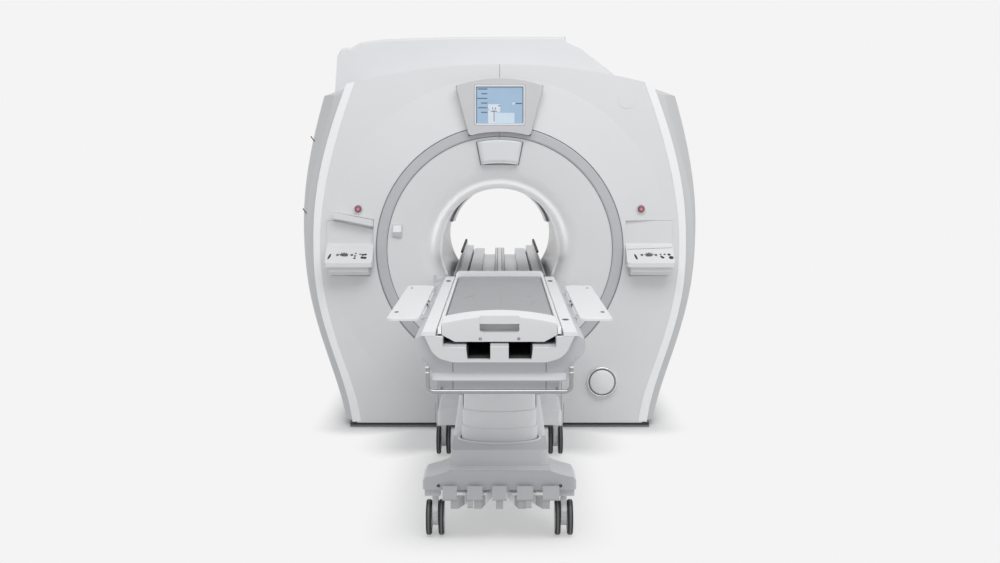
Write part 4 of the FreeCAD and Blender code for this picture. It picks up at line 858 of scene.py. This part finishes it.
class SCANNER_OT_cushion(bpy.types.Operator):
    """Make the cradle's cushion, crowned and softly creased"""

    bl_idname = "scanner.cushion"
    bl_label = "Cradle cushion"

    def execute(self, context):
        lo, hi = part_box("cradle_pad")
        s = sizes()
        middle = (lo + hi) / 2
        half_x, half_y = (hi.x - lo.x) / 2 - CUSHION_CLEAR, (hi.y - lo.y) / 2 - CUSHION_CLEAR
        inner_x, inner_y = half_x - CUSHION_CORNER, half_y - CUSHION_CORNER

        def spot(u, v, underside):
            x, y = u * half_x, v * half_y
            x -= math.copysign(s.cushion_pull * (1 - v * v) * abs(u) ** 6, u)
            if underside:
                return middle.x + x, middle.y + y, lo.z
            out, far = (max(d, 0) / CUSHION_CORNER for d in (abs(x) - inner_x, abs(y) - inner_y))
            edge = min(math.hypot(out, far), 1.0)
            drop = CUSHION_CORNER * 0.75 * (1 - math.sqrt(1 - edge**2.4))
            crown = s.cushion_crown * ((1 - u**4) * (1 - v**12) - 0.6)
            return middle.x + x, middle.y + y, hi.z + crown - drop - self.creased(x, y, s.crease_depth)

        mesh = closed_sheet("cradle_cushion", *CUSHION_GRID, spot)
        fabric = coated_cushion("Coated cushion", finish().cushion)
        piece = new_piece("cradle_cushion", mesh, "cradle", "pad_grey", fabric)
        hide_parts("cradle_pad")
        return {"FINISHED"}

    @staticmethod
    def creased(x, y, depth):
        """How far the cover sinks at a point, in metres."""
        sunk = noise.noise(Vector((x * 9, y * 5, 0.0))) * RIPPLE
        spot = Vector((x, y))
        for start, end, part in CREASES:
            a, b = Vector(start) / 1000, Vector(end) / 1000
            line = b - a
            t = min(max((spot - a).dot(line) / line.length_squared, 0), 1)
            away = (spot - a - line * t).length
            sunk += part * depth * math.exp(-((away / CREASE_WIDTH) ** 2)) * math.sin(math.pi * (0.08 + 0.84 * t))
        return sunk


SURROUND_SIDES = ((-177, 1717), (177, 1717), (252, 2003), (-252, 2003))  # corners of the surround (x, z in mm)
SURROUND_BOWS = {0: 684, 2: 745}  # radii to which its lower and upper side bow (mm)


class SCANNER_OT_bezel(bpy.types.Operator):
    """Make the display's surround with its soft corners, and the light frame round the glass"""

    bl_idname = "scanner.bezel"
    bl_label = "Display surround"

    def execute(self, context):
        lo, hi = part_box("display_bezel")
        front, back = drawing_y(lo.y), drawing_y(hi.y)
        outer = self.softened(SURROUND_SIDES, 20, SURROUND_BOWS)
        mesh = self.surround("display_surround", outer, self.window(146, 1778, 2007, 14), front, back, 3.0)
        warm = plastic("Warm surround", finish().bezel, 0.40)
        piece = new_piece("display_surround", mesh, "gantry", "bezel_warm", warm)
        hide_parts("display_bezel")
        outlines = self.window(144, 1780, 2006, 13), self.window(137, 1787, 1999, 9)
        rim = self.surround("display_frame", *outlines, front - 0.8, front + 22, 1.0)
        new_piece("display_frame", rim, "gantry", "bezel_warm", plastic("Display rim", (0.92, 0.92, 0.935), 0.35))
        return {"FINISHED"}

    def window(self, half, low, high, radius):
        """The outline of a rectangle with round corners."""
        return self.softened(((-half, low), (half, low), (half, high), (-half, high)), radius, {})

    @staticmethod
    def softened(corners, radius, bows, cuts=40, straight=30, bend=8):
        """A closed outline (x, z in mm) with bowed sides and round corners, always of the same length."""
        corners = [Vector(corner) for corner in corners]
        sides = []
        for number, (a, b) in enumerate(zip(corners, corners[1:] + corners[:1])):
            line = [a.lerp(b, i / cuts) for i in range(cuts + 1)]
            if number in bows:
                size, half = bows[number], (b - a).length / 2
                for i, spot in enumerate(line):
                    off = half * (2 * i / cuts - 1)
                    spot.y += math.sqrt(size**2 - off**2) - math.sqrt(size**2 - half**2)
            sides.append(line)
        points = []
        for line, after in zip(sides, sides[1:] + sides[:1]):
            first = line[0] + (line[1] - line[0]).normalized() * radius
            last = line[-1] + (line[-2] - line[-1]).normalized() * radius
            kept = [v for v in line if (v - line[0]).length > radius and (v - line[-1]).length > radius]
            body = [first, *kept, last]
            for i in range(straight):
                at = i / (straight - 1) * (len(body) - 1)
                low = min(int(at), len(body) - 2)
                points.append(body[low].lerp(body[low + 1], at - low))
            turn_to = after[0] + (after[1] - after[0]).normalized() * radius
            for t in (i / bend for i in range(1, bend)):
                points.append(last * (1 - t) ** 2 + line[-1] * 2 * t * (1 - t) + turn_to * t**2)
        return points

    @staticmethod
    def surround(name, outer, inner, front, back, bevel):
        """A closed frame between two outlines with as many points, its front edges rounded."""
        middle = sum(outer, Vector((0, 0))) / len(outer)
        small = 1 - bevel / 190
        rings = (  # outline, its size and its depth, from the back over the front into the window
            (outer, 1, back),
            (outer, 1, front + bevel + 0.4),
            (outer, 1, front + bevel),
            (outer, (1 + small * 2) / 3, front + bevel * 0.3),
            (outer, small, front),
            (outer, small - 0.003, front),
            (inner, 1.008, front),
            (inner, 1.005, front),
            (inner, 1, front + 0.6),
            (inner, 1, front + 1.0),
            (inner, 1, back),
        )
        points = []
        for outline, size, depth in rings:
            for x, z in (middle + (spot - middle) * size for spot in outline):
                points.append(place(x, depth, z))
        count, faces = len(outer), []
        for layer in range(len(rings)):
            here, after = layer * count, (layer + 1) % len(rings) * count
            for i in range(count):
                j = (i + 1) % count
                faces.append((here + i, here + j, after + j, after + i))
        return closed_mesh(name, points, faces)


LIGHT_GRID = (49, 33)  # points across and up
LIGHT_FOOT, LIGHT_FLARE = 106.5, 26  # half its width at the foot, and what it gains to the top (mm)
LIGHT_LOW, LIGHT_BOW = 1551, 10  # height of its lower edge, and how far that bows up in the middle (mm)
LIGHT_ARC, LIGHT_ARC_Z = 634, 1062.1  # radius and middle of its upper edge (mm)
LIGHT_ROUNDING = 26  # how far its edges fall back (mm)
LIGHT_SOFT_SIDE, LIGHT_SOFT_LOW, LIGHT_SOFT_TOP = 34, 24, 9  # how far in from each edge that fall starts (mm)


class SCANNER_OT_landmark(bpy.types.Operator):
    """Make the housing of the positioning light over the bore, softly rounded towards its sides"""

    bl_idname = "scanner.landmark"
    bl_label = "Positioning light"

    def execute(self, context):
        lo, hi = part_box("landmark_light")
        front, back = drawing_y(lo.y), drawing_y(hi.y)

        def spot(u, v, far):
            up = (v + 1) / 2
            x = u * (LIGHT_FOOT + LIGHT_FLARE * up)
            low = LIGHT_LOW + LIGHT_BOW * (1 - u * u)
            top = LIGHT_ARC_Z + math.sqrt(LIGHT_ARC**2 - x * x)
            z = low + (top - low) * up
            if far:
                return place(x, back, z)
            side = max(1 - (1 - abs(u)) * 120 / LIGHT_SOFT_SIDE, 0)
            below = max(1 - (z - low) / LIGHT_SOFT_LOW, 0)
            above = max(1 - (top - z) / LIGHT_SOFT_TOP, 0) * 0.55
            edge = min(math.hypot(side, max(below, above)), 1)
            fall = LIGHT_ROUNDING * (1 - math.sqrt(1 - edge**2))
            return place(x, front + fall + 3.0 * (1 - up) * up, z)

        mesh = closed_sheet("landmark_housing", *LIGHT_GRID, spot)
        pale = plastic("Light housing", (0.76, 0.762, 0.775), 0.28, coat=0.5)
        piece = new_piece("landmark_housing", mesh, "gantry", "white_cover", pale)
        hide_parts("landmark_light")
        return {"FINISHED"}


class SCANNER_OT_display_fields(bpy.types.Operator):
    """Lay generic fields and label rows on the display"""

    bl_idname = "scanner.display_fields"
    bl_label = "Display fields"

    def execute(self, context):
        s = sizes()
        glass = drawing_y(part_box("display_screen")[0].y)
        thick = s.mark_lift * 1000

        def panel(x0, x1, z0, z1, level=1):
            return (x0, glass - thick * level, z0), (x1, glass + 1, z1)

        pale = [panel(-66, 4, 1872, 1898), panel(-66, -24, 1790, 1862), panel(-60, 2, 1852, 1872, 2)]
        cyan = [panel(-24, 85, 1790, 1849, 2), panel(73, 86, 1896, 1908)]
        dark = [
            panel(-34, -30, 1800, 1866, 3),
            panel(-52, -14, 1856, 1860, 3),
            panel(-42, -38, 1868, 1880, 3),
            panel(-26, -22, 1868, 1880, 3),
            panel(-8, 4, 1886, 1892, 3),
            panel(92, 128, 1899, 1905, 3),
        ]
        for name, finish_name, tint, level, panels in (
            ("display_field", "Display field", (0.80, 0.88, 0.96), 1.0, pale),
            ("display_bars", "Display bar", (0.70, 0.86, 0.97), 1.0, cyan),
            ("display_figure", "Display lines", (0.07, 0.11, 0.17), 0.9, dark),
        ):
            slabs(name, "gantry", "screen", lit_field(finish_name, tint, level), panels)
        carrier = bpy.data.meshes.new("label_carrier")
        carrier.from_pydata([place(-70, glass - thick / 2, 1984)], [], [])
        rows = {"Rows": s.label_rows, "Seed": s.label_seed, "Pitch": 0.0265, "Shortest": 0.030, "Longest": 0.066}
        rows.update(Height=0.007, Depth=s.mark_lift * 2, Material=lit_field("Display labels", (0.14, 0.21, 0.31), 0.9))
        grown("display_labels", "gantry", "screen", carrier, label_tree(), **rows)
        return {"FINISHED"}


KEY_FACE = Vector((0, -86, 107)).normalized()  # the way the sloped key faces look
KEY_DOTS = (  # place on the key faces (mm) and half size
    (-833, -51.1, 1041.4, 4.5),
    (-836, -68.1, 1027.7, 5.0),
    (-838, -82.4, 1016.2, 6.0),
    (-807.5, -56.9, 1036.7, 4.5),
    (-791.5, -60.2, 1034.0, 7.0),
    (-776.6, -58.9, 1035.1, 6.5),
    (-793, -78.5, 1019.3, 8.5),
    (-778, -80.0, 1018.1, 8.0),
    (930.8, -56.9, 1036.7, 4.5),
    (954.5, -56.9, 1036.7, 5.0),
    (980.3, -58.9, 1035.1, 7.5),
    (941.6, -77.8, 1019.9, 7.5),
    (934.0, -70.0, 1026.2, 5.5),
    (990.6, -78.5, 1019.3, 11.0),
)
KEY_BARS = ((-984, -71.3, 1025.1, -0.30), (787, -73.2, 1023.6, 0.27))  # place (mm) and roll
FAN_MIDDLES = (-902, 865)
FAN_TURNS = [math.radians(turn) for turn in (-50, -25, 0, 25, 50)]


class SCANNER_OT_key_marks(bpy.types.Operator):
    """Print the marks beside the keys and the fan-shaped cluster on each housing"""

    bl_idname = "scanner.key_marks"
    bl_label = "Key marks"

    def execute(self, context):
        thick = sizes().mark_lift * 1000
        black = plastic("Printed black", (0.018, 0.018, 0.02), 0.5, drift=0.05)
        marks = [mark(x, y, z, KEY_FACE, half * 1.25, half * 1.2, thick) for x, y, z, half in KEY_DOTS]
        marks += [mark(x, y, z, KEY_FACE, 6.5, 24, thick, roll) for x, y, z, roll in KEY_BARS]
        studs("key_marks", "gantry", "key_grey", black, marks, bevel=0.97)
        leaves = []
        for middle, turn in product(FAN_MIDDLES, FAN_TURNS):
            drop = 16 - math.cos(turn) * 26
            spot = (middle + math.sin(turn) * 22, -62 - drop * 0.78, 1032.6 - drop * 0.626)
            leaves.append(mark(*spot, KEY_FACE, 4.6, 13, thick, -turn))
        studs("fan_marks", "gantry", "key_grey", black, leaves, sides=16, bevel=0.97)
        return {"FINISHED"}


BORE_MIDDLE, PORT_MIDDLE = (0, 1057.4), (604, 276)  # x, z of two round forms on the front (mm)
RING_RADIUS, FUNNEL_RADIUS = 720.5, 657.0
RING_CLEAR = math.asin(170 / RING_RADIUS)  # the ring's groove stops where the display's surround covers it
COLUMN_CORNER, COLUMN_CORNER_Y = 60, -1787.2  # radius and middle of the lower sleeve's corners (mm)
COLUMN_FRONT, COLUMN_FRONT_Y = 229, -1651  # radius and middle of its bowed front (mm)
COLUMN_BACK = -1300  # where the lines round it end (mm)


class SCANNER_OT_seams(bpy.types.Operator):
    """Draw the fine joints between the covers, along the shroud and on the column"""

    bl_idname = "scanner.seams"
    bl_label = "Seams"

    def execute(self, context):
        half = sizes().seam_half
        dark = plastic("Seam shadow", (0.20, 0.20, 0.21), 0.7)
        bright = metal("Port ring", (0.80, 0.80, 0.81), 0.22)
        rim = plastic("Hub rim", (0.90, 0.902, 0.91), 0.35)
        cover = [((0, 25, 2011), (0, 25, 2127.5)), ((0, -3, 1705), (0, -3, 1773))]
        cover += twins(((378.5, 25, 36), (378.5, 25, 329)), ((378.5, 25, 331), (300, 25, 332)))
        cover.append(((742, -24.6, 1063.2), (1003, -14.4, 1071.4)))
        light = twins(((135.5, 3.6, 1683), (109.5, 25.6, 1551)))
        dock = twins(((363, -8, 36), (363, -8, 322)))
        shroud = twins(((190, -2240, 664), (190, -2240, 699)), ((190, -2240, 737), (190, -2240, 779)))
        ring = self.circle(BORE_MIDDLE, RING_RADIUS, 0.0, RING_CLEAR)
        for name, body, slot, material, paths, radius in (
            ("landmark_grooves", "gantry", "dark_trim", dark, light, 0.0024),
            ("port_gap", "gantry", "dark_trim", dark, [self.circle(PORT_MIDDLE, 75.0, 3.0)], 0.0032),
            ("port_ring", "gantry", "white_cover", bright, [self.circle(PORT_MIDDLE, 84.0, 2.5)], 0.0046),
            ("ring_groove", "gantry", "dark_trim", dark, [ring], 0.0025),
            ("funnel_groove", "gantry", "dark_trim", dark, [self.circle(BORE_MIDDLE, FUNNEL_RADIUS, 2.0)], 0.0017),
            ("cover_seams", "gantry", "dark_trim", dark, cover, half),
            ("dock_seams", "gantry", "dark_trim", dark, dock, half),
            ("shroud_seams", "table_top", "dark_trim", dark, shroud, half * 1.2),
            ("hub_rim", "table_base", "base_grey", rim, [self.sleeve_path(20, 358)], 0.0065),
            ("hub_gap", "table_base", "dark_trim", dark, [self.sleeve_path(9.5, 359)], 0.0036),
        ):
            beads(name, body, slot, material, paths, radius)
        return {"FINISHED"}

    @staticmethod
    def circle(middle, radius, y, clear=0.0):
        """A circle on the front, open by an angle to each side of its top."""
        turns = np.linspace(clear, 2 * math.pi - clear, 145)
        return [(middle[0] + radius * math.sin(a), y, middle[1] + radius * math.cos(a)) for a in turns]

    @staticmethod
    def sleeve_path(grow, height):
        """The plan of the lower sleeve's bowed front and rounded corners, set off by a distance."""
        corner, front = COLUMN_CORNER + grow, COLUMN_FRONT + grow
        arc = [math.radians(i * 53.7 / 6) for i in range(7)]
        lean = math.asin(100 / 169)
        bow = [lean * (i / 12 - 1) for i in range(1, 24)]
        path = [(-160 - grow, COLUMN_BACK, height)]
        path += [(-100 - corner * math.cos(a), COLUMN_CORNER_Y - corner * math.sin(a), height) for a in arc]
        path += [(front * math.sin(a), COLUMN_FRONT_Y - front * math.cos(a), height) for a in bow]
        path += [(100 + corner * math.cos(a), COLUMN_CORNER_Y - corner * math.sin(a), height) for a in reversed(arc)]
        return path + [(160 + grow, COLUMN_BACK, height)]


DECK_PLUGS = ((-288, -264, 14, 40), (285, -264, 14, 40), (287, -1876, 15, 28))  # x, y and half sizes (mm)
BOARD_PLUGS = ((-642, 7, 18), (-1635, 10, 24))  # y and half sizes on each board (mm)


class SCANNER_OT_screws(bpy.types.Operator):
    """Set the foot panel's screws, and the slot plugs of deck and boards"""

    bl_idname = "scanner.screws"
    bl_label = "Screws and plugs"

    def execute(self, context):
        radius = sizes().screw_radius * 1000
        steel = plastic("Blackened steel", (0.055, 0.055, 0.06), 0.35, coat=0.3)
        face = Vector((0, -1, HOOD_RAKE)).normalized()
        raked = -2190 + (865 - 854) * HOOD_RAKE
        screws = [mark(side * 79, raked, 865, face, radius, radius, 1.6) for side in SIDES]
        studs("panel_screws", "cradle", "dark_trim", steel, screws, socket=0.9)
        plug = plastic("Slot plug", (0.05, 0.05, 0.055), 0.5)
        plugs = [mark(x, y, 903, UP, wide, deep, 1.0) for x, y, wide, deep in DECK_PLUGS]
        studs("deck_plugs", "table_top", "dark_trim", plug, plugs, socket=0.2)
        for side, word in zip((-1, 1), WORDS):
            spots = [mark(side * 468, y, 905, UP, wide, deep, 0.8) for y, wide, deep in BOARD_PLUGS]
            studs(f"board_plugs_{word}", f"board_{word}", "dark_trim", plug, spots, socket=0.2)
        return {"FINISHED"}


class SCANNER_OT_fittings(bpy.types.Operator):
    """Add handle caps, dock feet, fork bars, clips, lips, and the linings of bridge and table channels"""

    bl_idname = "scanner.fittings"
    bl_label = "Small fittings"

    def execute(self, context):
        chrome = metal("Bright caps", (0.80, 0.80, 0.81), 0.12)
        steel = metal("Foot steel", (0.62, 0.62, 0.63), 0.25)
        pale = plastic("Fork label", (0.82, 0.82, 0.83), 0.4)
        dark = plastic("Slot shadow", (0.03, 0.03, 0.034), 0.6)
        line = plastic("Guide line", (0.92, 0.92, 0.93), 0.3)
        shade = plastic("Edge shadow", (0.22, 0.22, 0.23), 0.6)
        # Painted shade: near-black floor and walls that darken the table's channels.
        channel_shade = plastic("Channel shade", (0.045, 0.047, 0.05), 0.5)
        white = plastic("Cover lip", (0.86, 0.862, 0.87), 0.35)
        notch = plastic("Notch", (0.35, 0.35, 0.36), 0.5)
        caps = [mark(side * 291, -2292, 766, UP, 9.5, 9.5, 6.0) for side in SIDES]
        caps += [mark(side * 291, -2292, 745, UP, 10.5, 10.5, 5.0) for side in SIDES]
        studs("handle_caps", "table_top", "handle_chrome", chrome, caps, bevel=0.7)
        feet = [mark(side * 355, 12, 4, UP, 21, 21, 8) for side in SIDES]
        feet += [mark(side * 355, 12, 18, UP, 20.2, 20.2, 8) for side in SIDES]
        studs("dock_feet", "gantry", "magnet_metal", steel, feet, bevel=0.93)
        for corner, x in (("foot_left", -274), ("foot_right", 274)):
            bars = [((x - 11, -2095.6, z), (x + 11, -2093, z + 5)) for z in (86, 104)]
            slabs("fork_bars_" + corner, "swivel_" + corner, "steel_paint", pale, bars)
        edges = twins(((16, 30, 847.4), (16, 2850, 847.4)), ((33, 30, 847.4), (33, 2850, 847.4)))
        edges += twins(((263, 30, 905), (263, 2800, 905)))
        raised = [((-11, 30, 846), (11, 2850, 848.5)), ((-4, 30, 848), (4, 2850, 849.6))]
        slabs("bridge_slots", "gantry", "dark_trim", dark, twins(((200.6, 40, 826), (210.4, 2700, 827.2))))
        slabs("bridge_line", "gantry", "bridge_pale", line, raised)
        beads("bridge_edges", "gantry", "dark_trim", shade, edges, 0.0016)
        # dark sheets on the channels' walls: painted shade
        walls = twins(((128.6, -2236, 793), (130.4, -30, 838)), ((36.6, -2236, 793), (38.4, -30, 842)))
        clips = twins(*(((348, y, 875), (359, y + 34, 893)) for y in (-1250, -1120)))
        notches = [((-9, -13.6, 930), (9, 0.6, 936.4)), ((-5, -14.4, 931.5), (5, 0.2, 935))]
        for name, body, slot, material, boxes, bevel in (
            ("channel_floor", "table_top", "dark_trim", channel_shade, twins(((38, -2236, 791), (129, -30, 793))), 0.0004),
            ("channel_walls", "table_top", "dark_trim", dark, walls, 0.0004),
            ("cover_lip", "gantry", "white_cover", white, twins(((380, 26, 27), (846, 32.6, 34))), 0.001),
            # a dark band in front of the plinth, under the cover's lip: painted shadow
            ("plinth_gap", "gantry", "dark_trim", dark, twins(((378, 31.4, 13), (886, 33.4, 27))), 0.0004),
            ("rod_clips", "table_top", "dark_trim", dark, clips, 0.002),
            ("cradle_corners", "cradle", "dark_trim", dark, twins(((239.5, -2181, 864), (254, -2170, 884))), 0.002),
            ("lip_notch", "cradle", "dark_trim", notch, notches, 0.0004),
        ):
            slabs(name, body, slot, material, boxes, bevel)
        return {"FINISHED"}


# ---------------------------------------------------------------- operator: studio
FLOOR_HALF = 60
FLOOR_Z = -0.0005
FOOTPRINTS = (  # where the floor keeps its shadow: middle, half size, share of the reach, backdrop inside
    ((-0.04, -1.50, 0.0), (0.22, 0.84, 1.0), 1.0, None),
    ((-0.04, -0.50, 0.0), (0.42, 0.24, 1.0), 1.0, 0.25),
    ((0.0, 0.50, 0.0), (0.86, 0.76, 1.0), 0.75, 0.0),
)


class SCANNER_OT_studio(bpy.types.Operator):
    """Set the camera, the pale floor and the soft light"""

    bl_idname = "scanner.studio"
    bl_label = "Studio"

    def execute(self, context):
        stage = context.scene.scanner_studio
        self.camera(context, stage)
        self.floor(stage)
        self.world(context, stage)
        self.lamps(stage)
        context.scene.view_settings.view_transform = "Standard"
        return {"FINISHED"}

    def camera(self, context, stage):
        """Looks along the bore from the table's foot end."""
        lens = bpy.data.cameras.new("camera")
        lens.sensor_width = 36
        lens.lens = stage.lens
        made = linked("camera", lens)
        made.location = (0.002, stage.camera_y, stage.camera_height)
        made.rotation_euler = (math.pi / 2 - stage.camera_dip, 0, 0)
        context.scene.camera = made

    def floor(self, stage):
        """A pale floor that fades into the backdrop and keeps the object's shadow."""
        corners = ((-1, -1), (1, -1), (1, 1), (-1, 1))
        mesh = bpy.data.meshes.new("floor")
        mesh.from_pydata([(x * FLOOR_HALF, y * FLOOR_HALF, FLOOR_Z) for x, y in corners], [], [(0, 1, 2, 3)])
        made = linked("floor", mesh)
        w = Surface("Pale floor")
        mesh.materials.append(w.material)
        w.done({"Base Color": (*[stage.floor_tone] * 3, 1), "Roughness": 0.9, "Specular IOR Level": 0.0})
        here = w.here()
        past = []
        for middle, half, part, least in FOOTPRINTS:
            least = stage.table_glow if least is None else least
            off = w.vector("SUBTRACT", w.vector("ABSOLUTE", w.centred(here, middle)), half)
            away = w.vector("LENGTH", w.vector("MAXIMUM", off, (0, 0, 0)))
            past.append(w.spread(away, 0.0, stage.shadow_reach * part, least, 1.0, "SMOOTHSTEP"))
        far = w.sum("MINIMUM", w.sum("MINIMUM", past[0], past[1]), past[2])
        glow = w.node("ShaderNodeEmission", {"Color": (1, 1, 1, 1), "Strength": stage.background})
        blend = {0: w.sum("MULTIPLY", far, self.seen_ray(w)), 1: w.shader.outputs[0], 2: glow.outputs[0]}
        mixed = w.node("ShaderNodeMixShader", blend)
        w.feed(w.tree.nodes["Material Output"], {"Surface": mixed.outputs[0]})

    def seen_ray(self, w):
        """1 for rays that show the backdrop: from the camera, in gloss or through glass."""
        path = w.node("ShaderNodeLightPath").outputs
        gloss = w.sum("MAXIMUM", path["Is Glossy Ray"], path["Is Transmission Ray"])
        return w.sum("MAXIMUM", path["Is Camera Ray"], gloss)

    def world(self, context, stage):
        """Even light from all round, with the backdrop's own brightness where it is seen."""
        world = bpy.data.worlds.new("studio")
        world.use_nodes = True
        context.scene.world = world
        w = Wiring(world.node_tree)
        seen = self.seen_ray(w)
        tint = w.mix(seen, (0.965, 0.98, 1.0), (1, 1, 1))
        level = w.spread(seen, 0.0, 1.0, stage.sky, stage.background)
        w.feed(w.tree.nodes["Background"], {"Color": tint, "Strength": level})

    def lamps(self, stage):
        """A wide soft lamp over the front, turned to the gantry, and a small fill inside the bore."""
        for name, energy, across, along, spot, to in (
            ("key", stage.key, 6.0, 3.0, (0.9, -4.2, 5.7), (0, 0.0, 1.0)),
            ("bore_fill", stage.bore, 0.5, 0.30, (0, -0.10, 1.0), (0, -0.04, 3.0)),
        ):
            light = bpy.data.lights.new(name, "AREA")
            light.shape = "RECTANGLE"
            light.size, light.size_y = across, along
            light.energy = energy
            made = linked(name, light)
            made.location = spot
            made.rotation_euler = (Vector(to) - made.location).to_track_quat("-Z", "Y").to_euler()
            made.visible_camera = False


# ---------------------------------------------------------------- registering
GROUPS = (
    ("scanner_finish", ScannerFinish),
    ("scanner_sizes", ScannerSizes),
    ("scanner_studio", ScannerStudio),
)
STEPS = (
    SCANNER_OT_finish_covers,
    SCANNER_OT_finish_inside,
    SCANNER_OT_finish_table,
    SCANNER_OT_finish_rolling,
    SCANNER_OT_finish_controls,
    SCANNER_OT_cushion,
    SCANNER_OT_bezel,
    SCANNER_OT_landmark,
    SCANNER_OT_display_fields,
    SCANNER_OT_key_marks,
    SCANNER_OT_seams,
    SCANNER_OT_screws,
    SCANNER_OT_fittings,
    SCANNER_OT_studio,
)


class SCANNER_PT_pieces(bpy.types.Panel):
    """The scanner's settings, and its pieces in the order they are made."""

    bl_label = "MRI scanner"
    bl_space_type = "VIEW_3D"
    bl_region_type = "UI"
    bl_category = "Scanner"

    def draw(self, context):
        for name, group in GROUPS:
            box = self.layout.box()
            for setting in group.__annotations__:
                box.prop(getattr(context.scene, name), setting)
        for step in STEPS:
            self.layout.operator(step.bl_idname)


def register():
    """Adds the classes and hangs their settings on the scene."""
    for name, group in GROUPS:
        bpy.utils.register_class(group)
        setattr(bpy.types.Scene, name, PointerProperty(type=group))
    for step in STEPS:
        bpy.utils.register_class(step)
    bpy.utils.register_class(SCANNER_PT_pieces)


def unregister():
    """Takes away what register() added."""
    bpy.utils.unregister_class(SCANNER_PT_pieces)
    for step in reversed(STEPS):
        bpy.utils.unregister_class(step)
    for name, group in reversed(GROUPS):
        delattr(bpy.types.Scene, name)
        bpy.utils.unregister_class(group)


def main():
    """Makes every piece in order."""
    register()
    for step in STEPS:
        family, name = step.bl_idname.split(".")
        getattr(getattr(bpy.ops, family), name)()


if __name__ == "__main__":
    main()
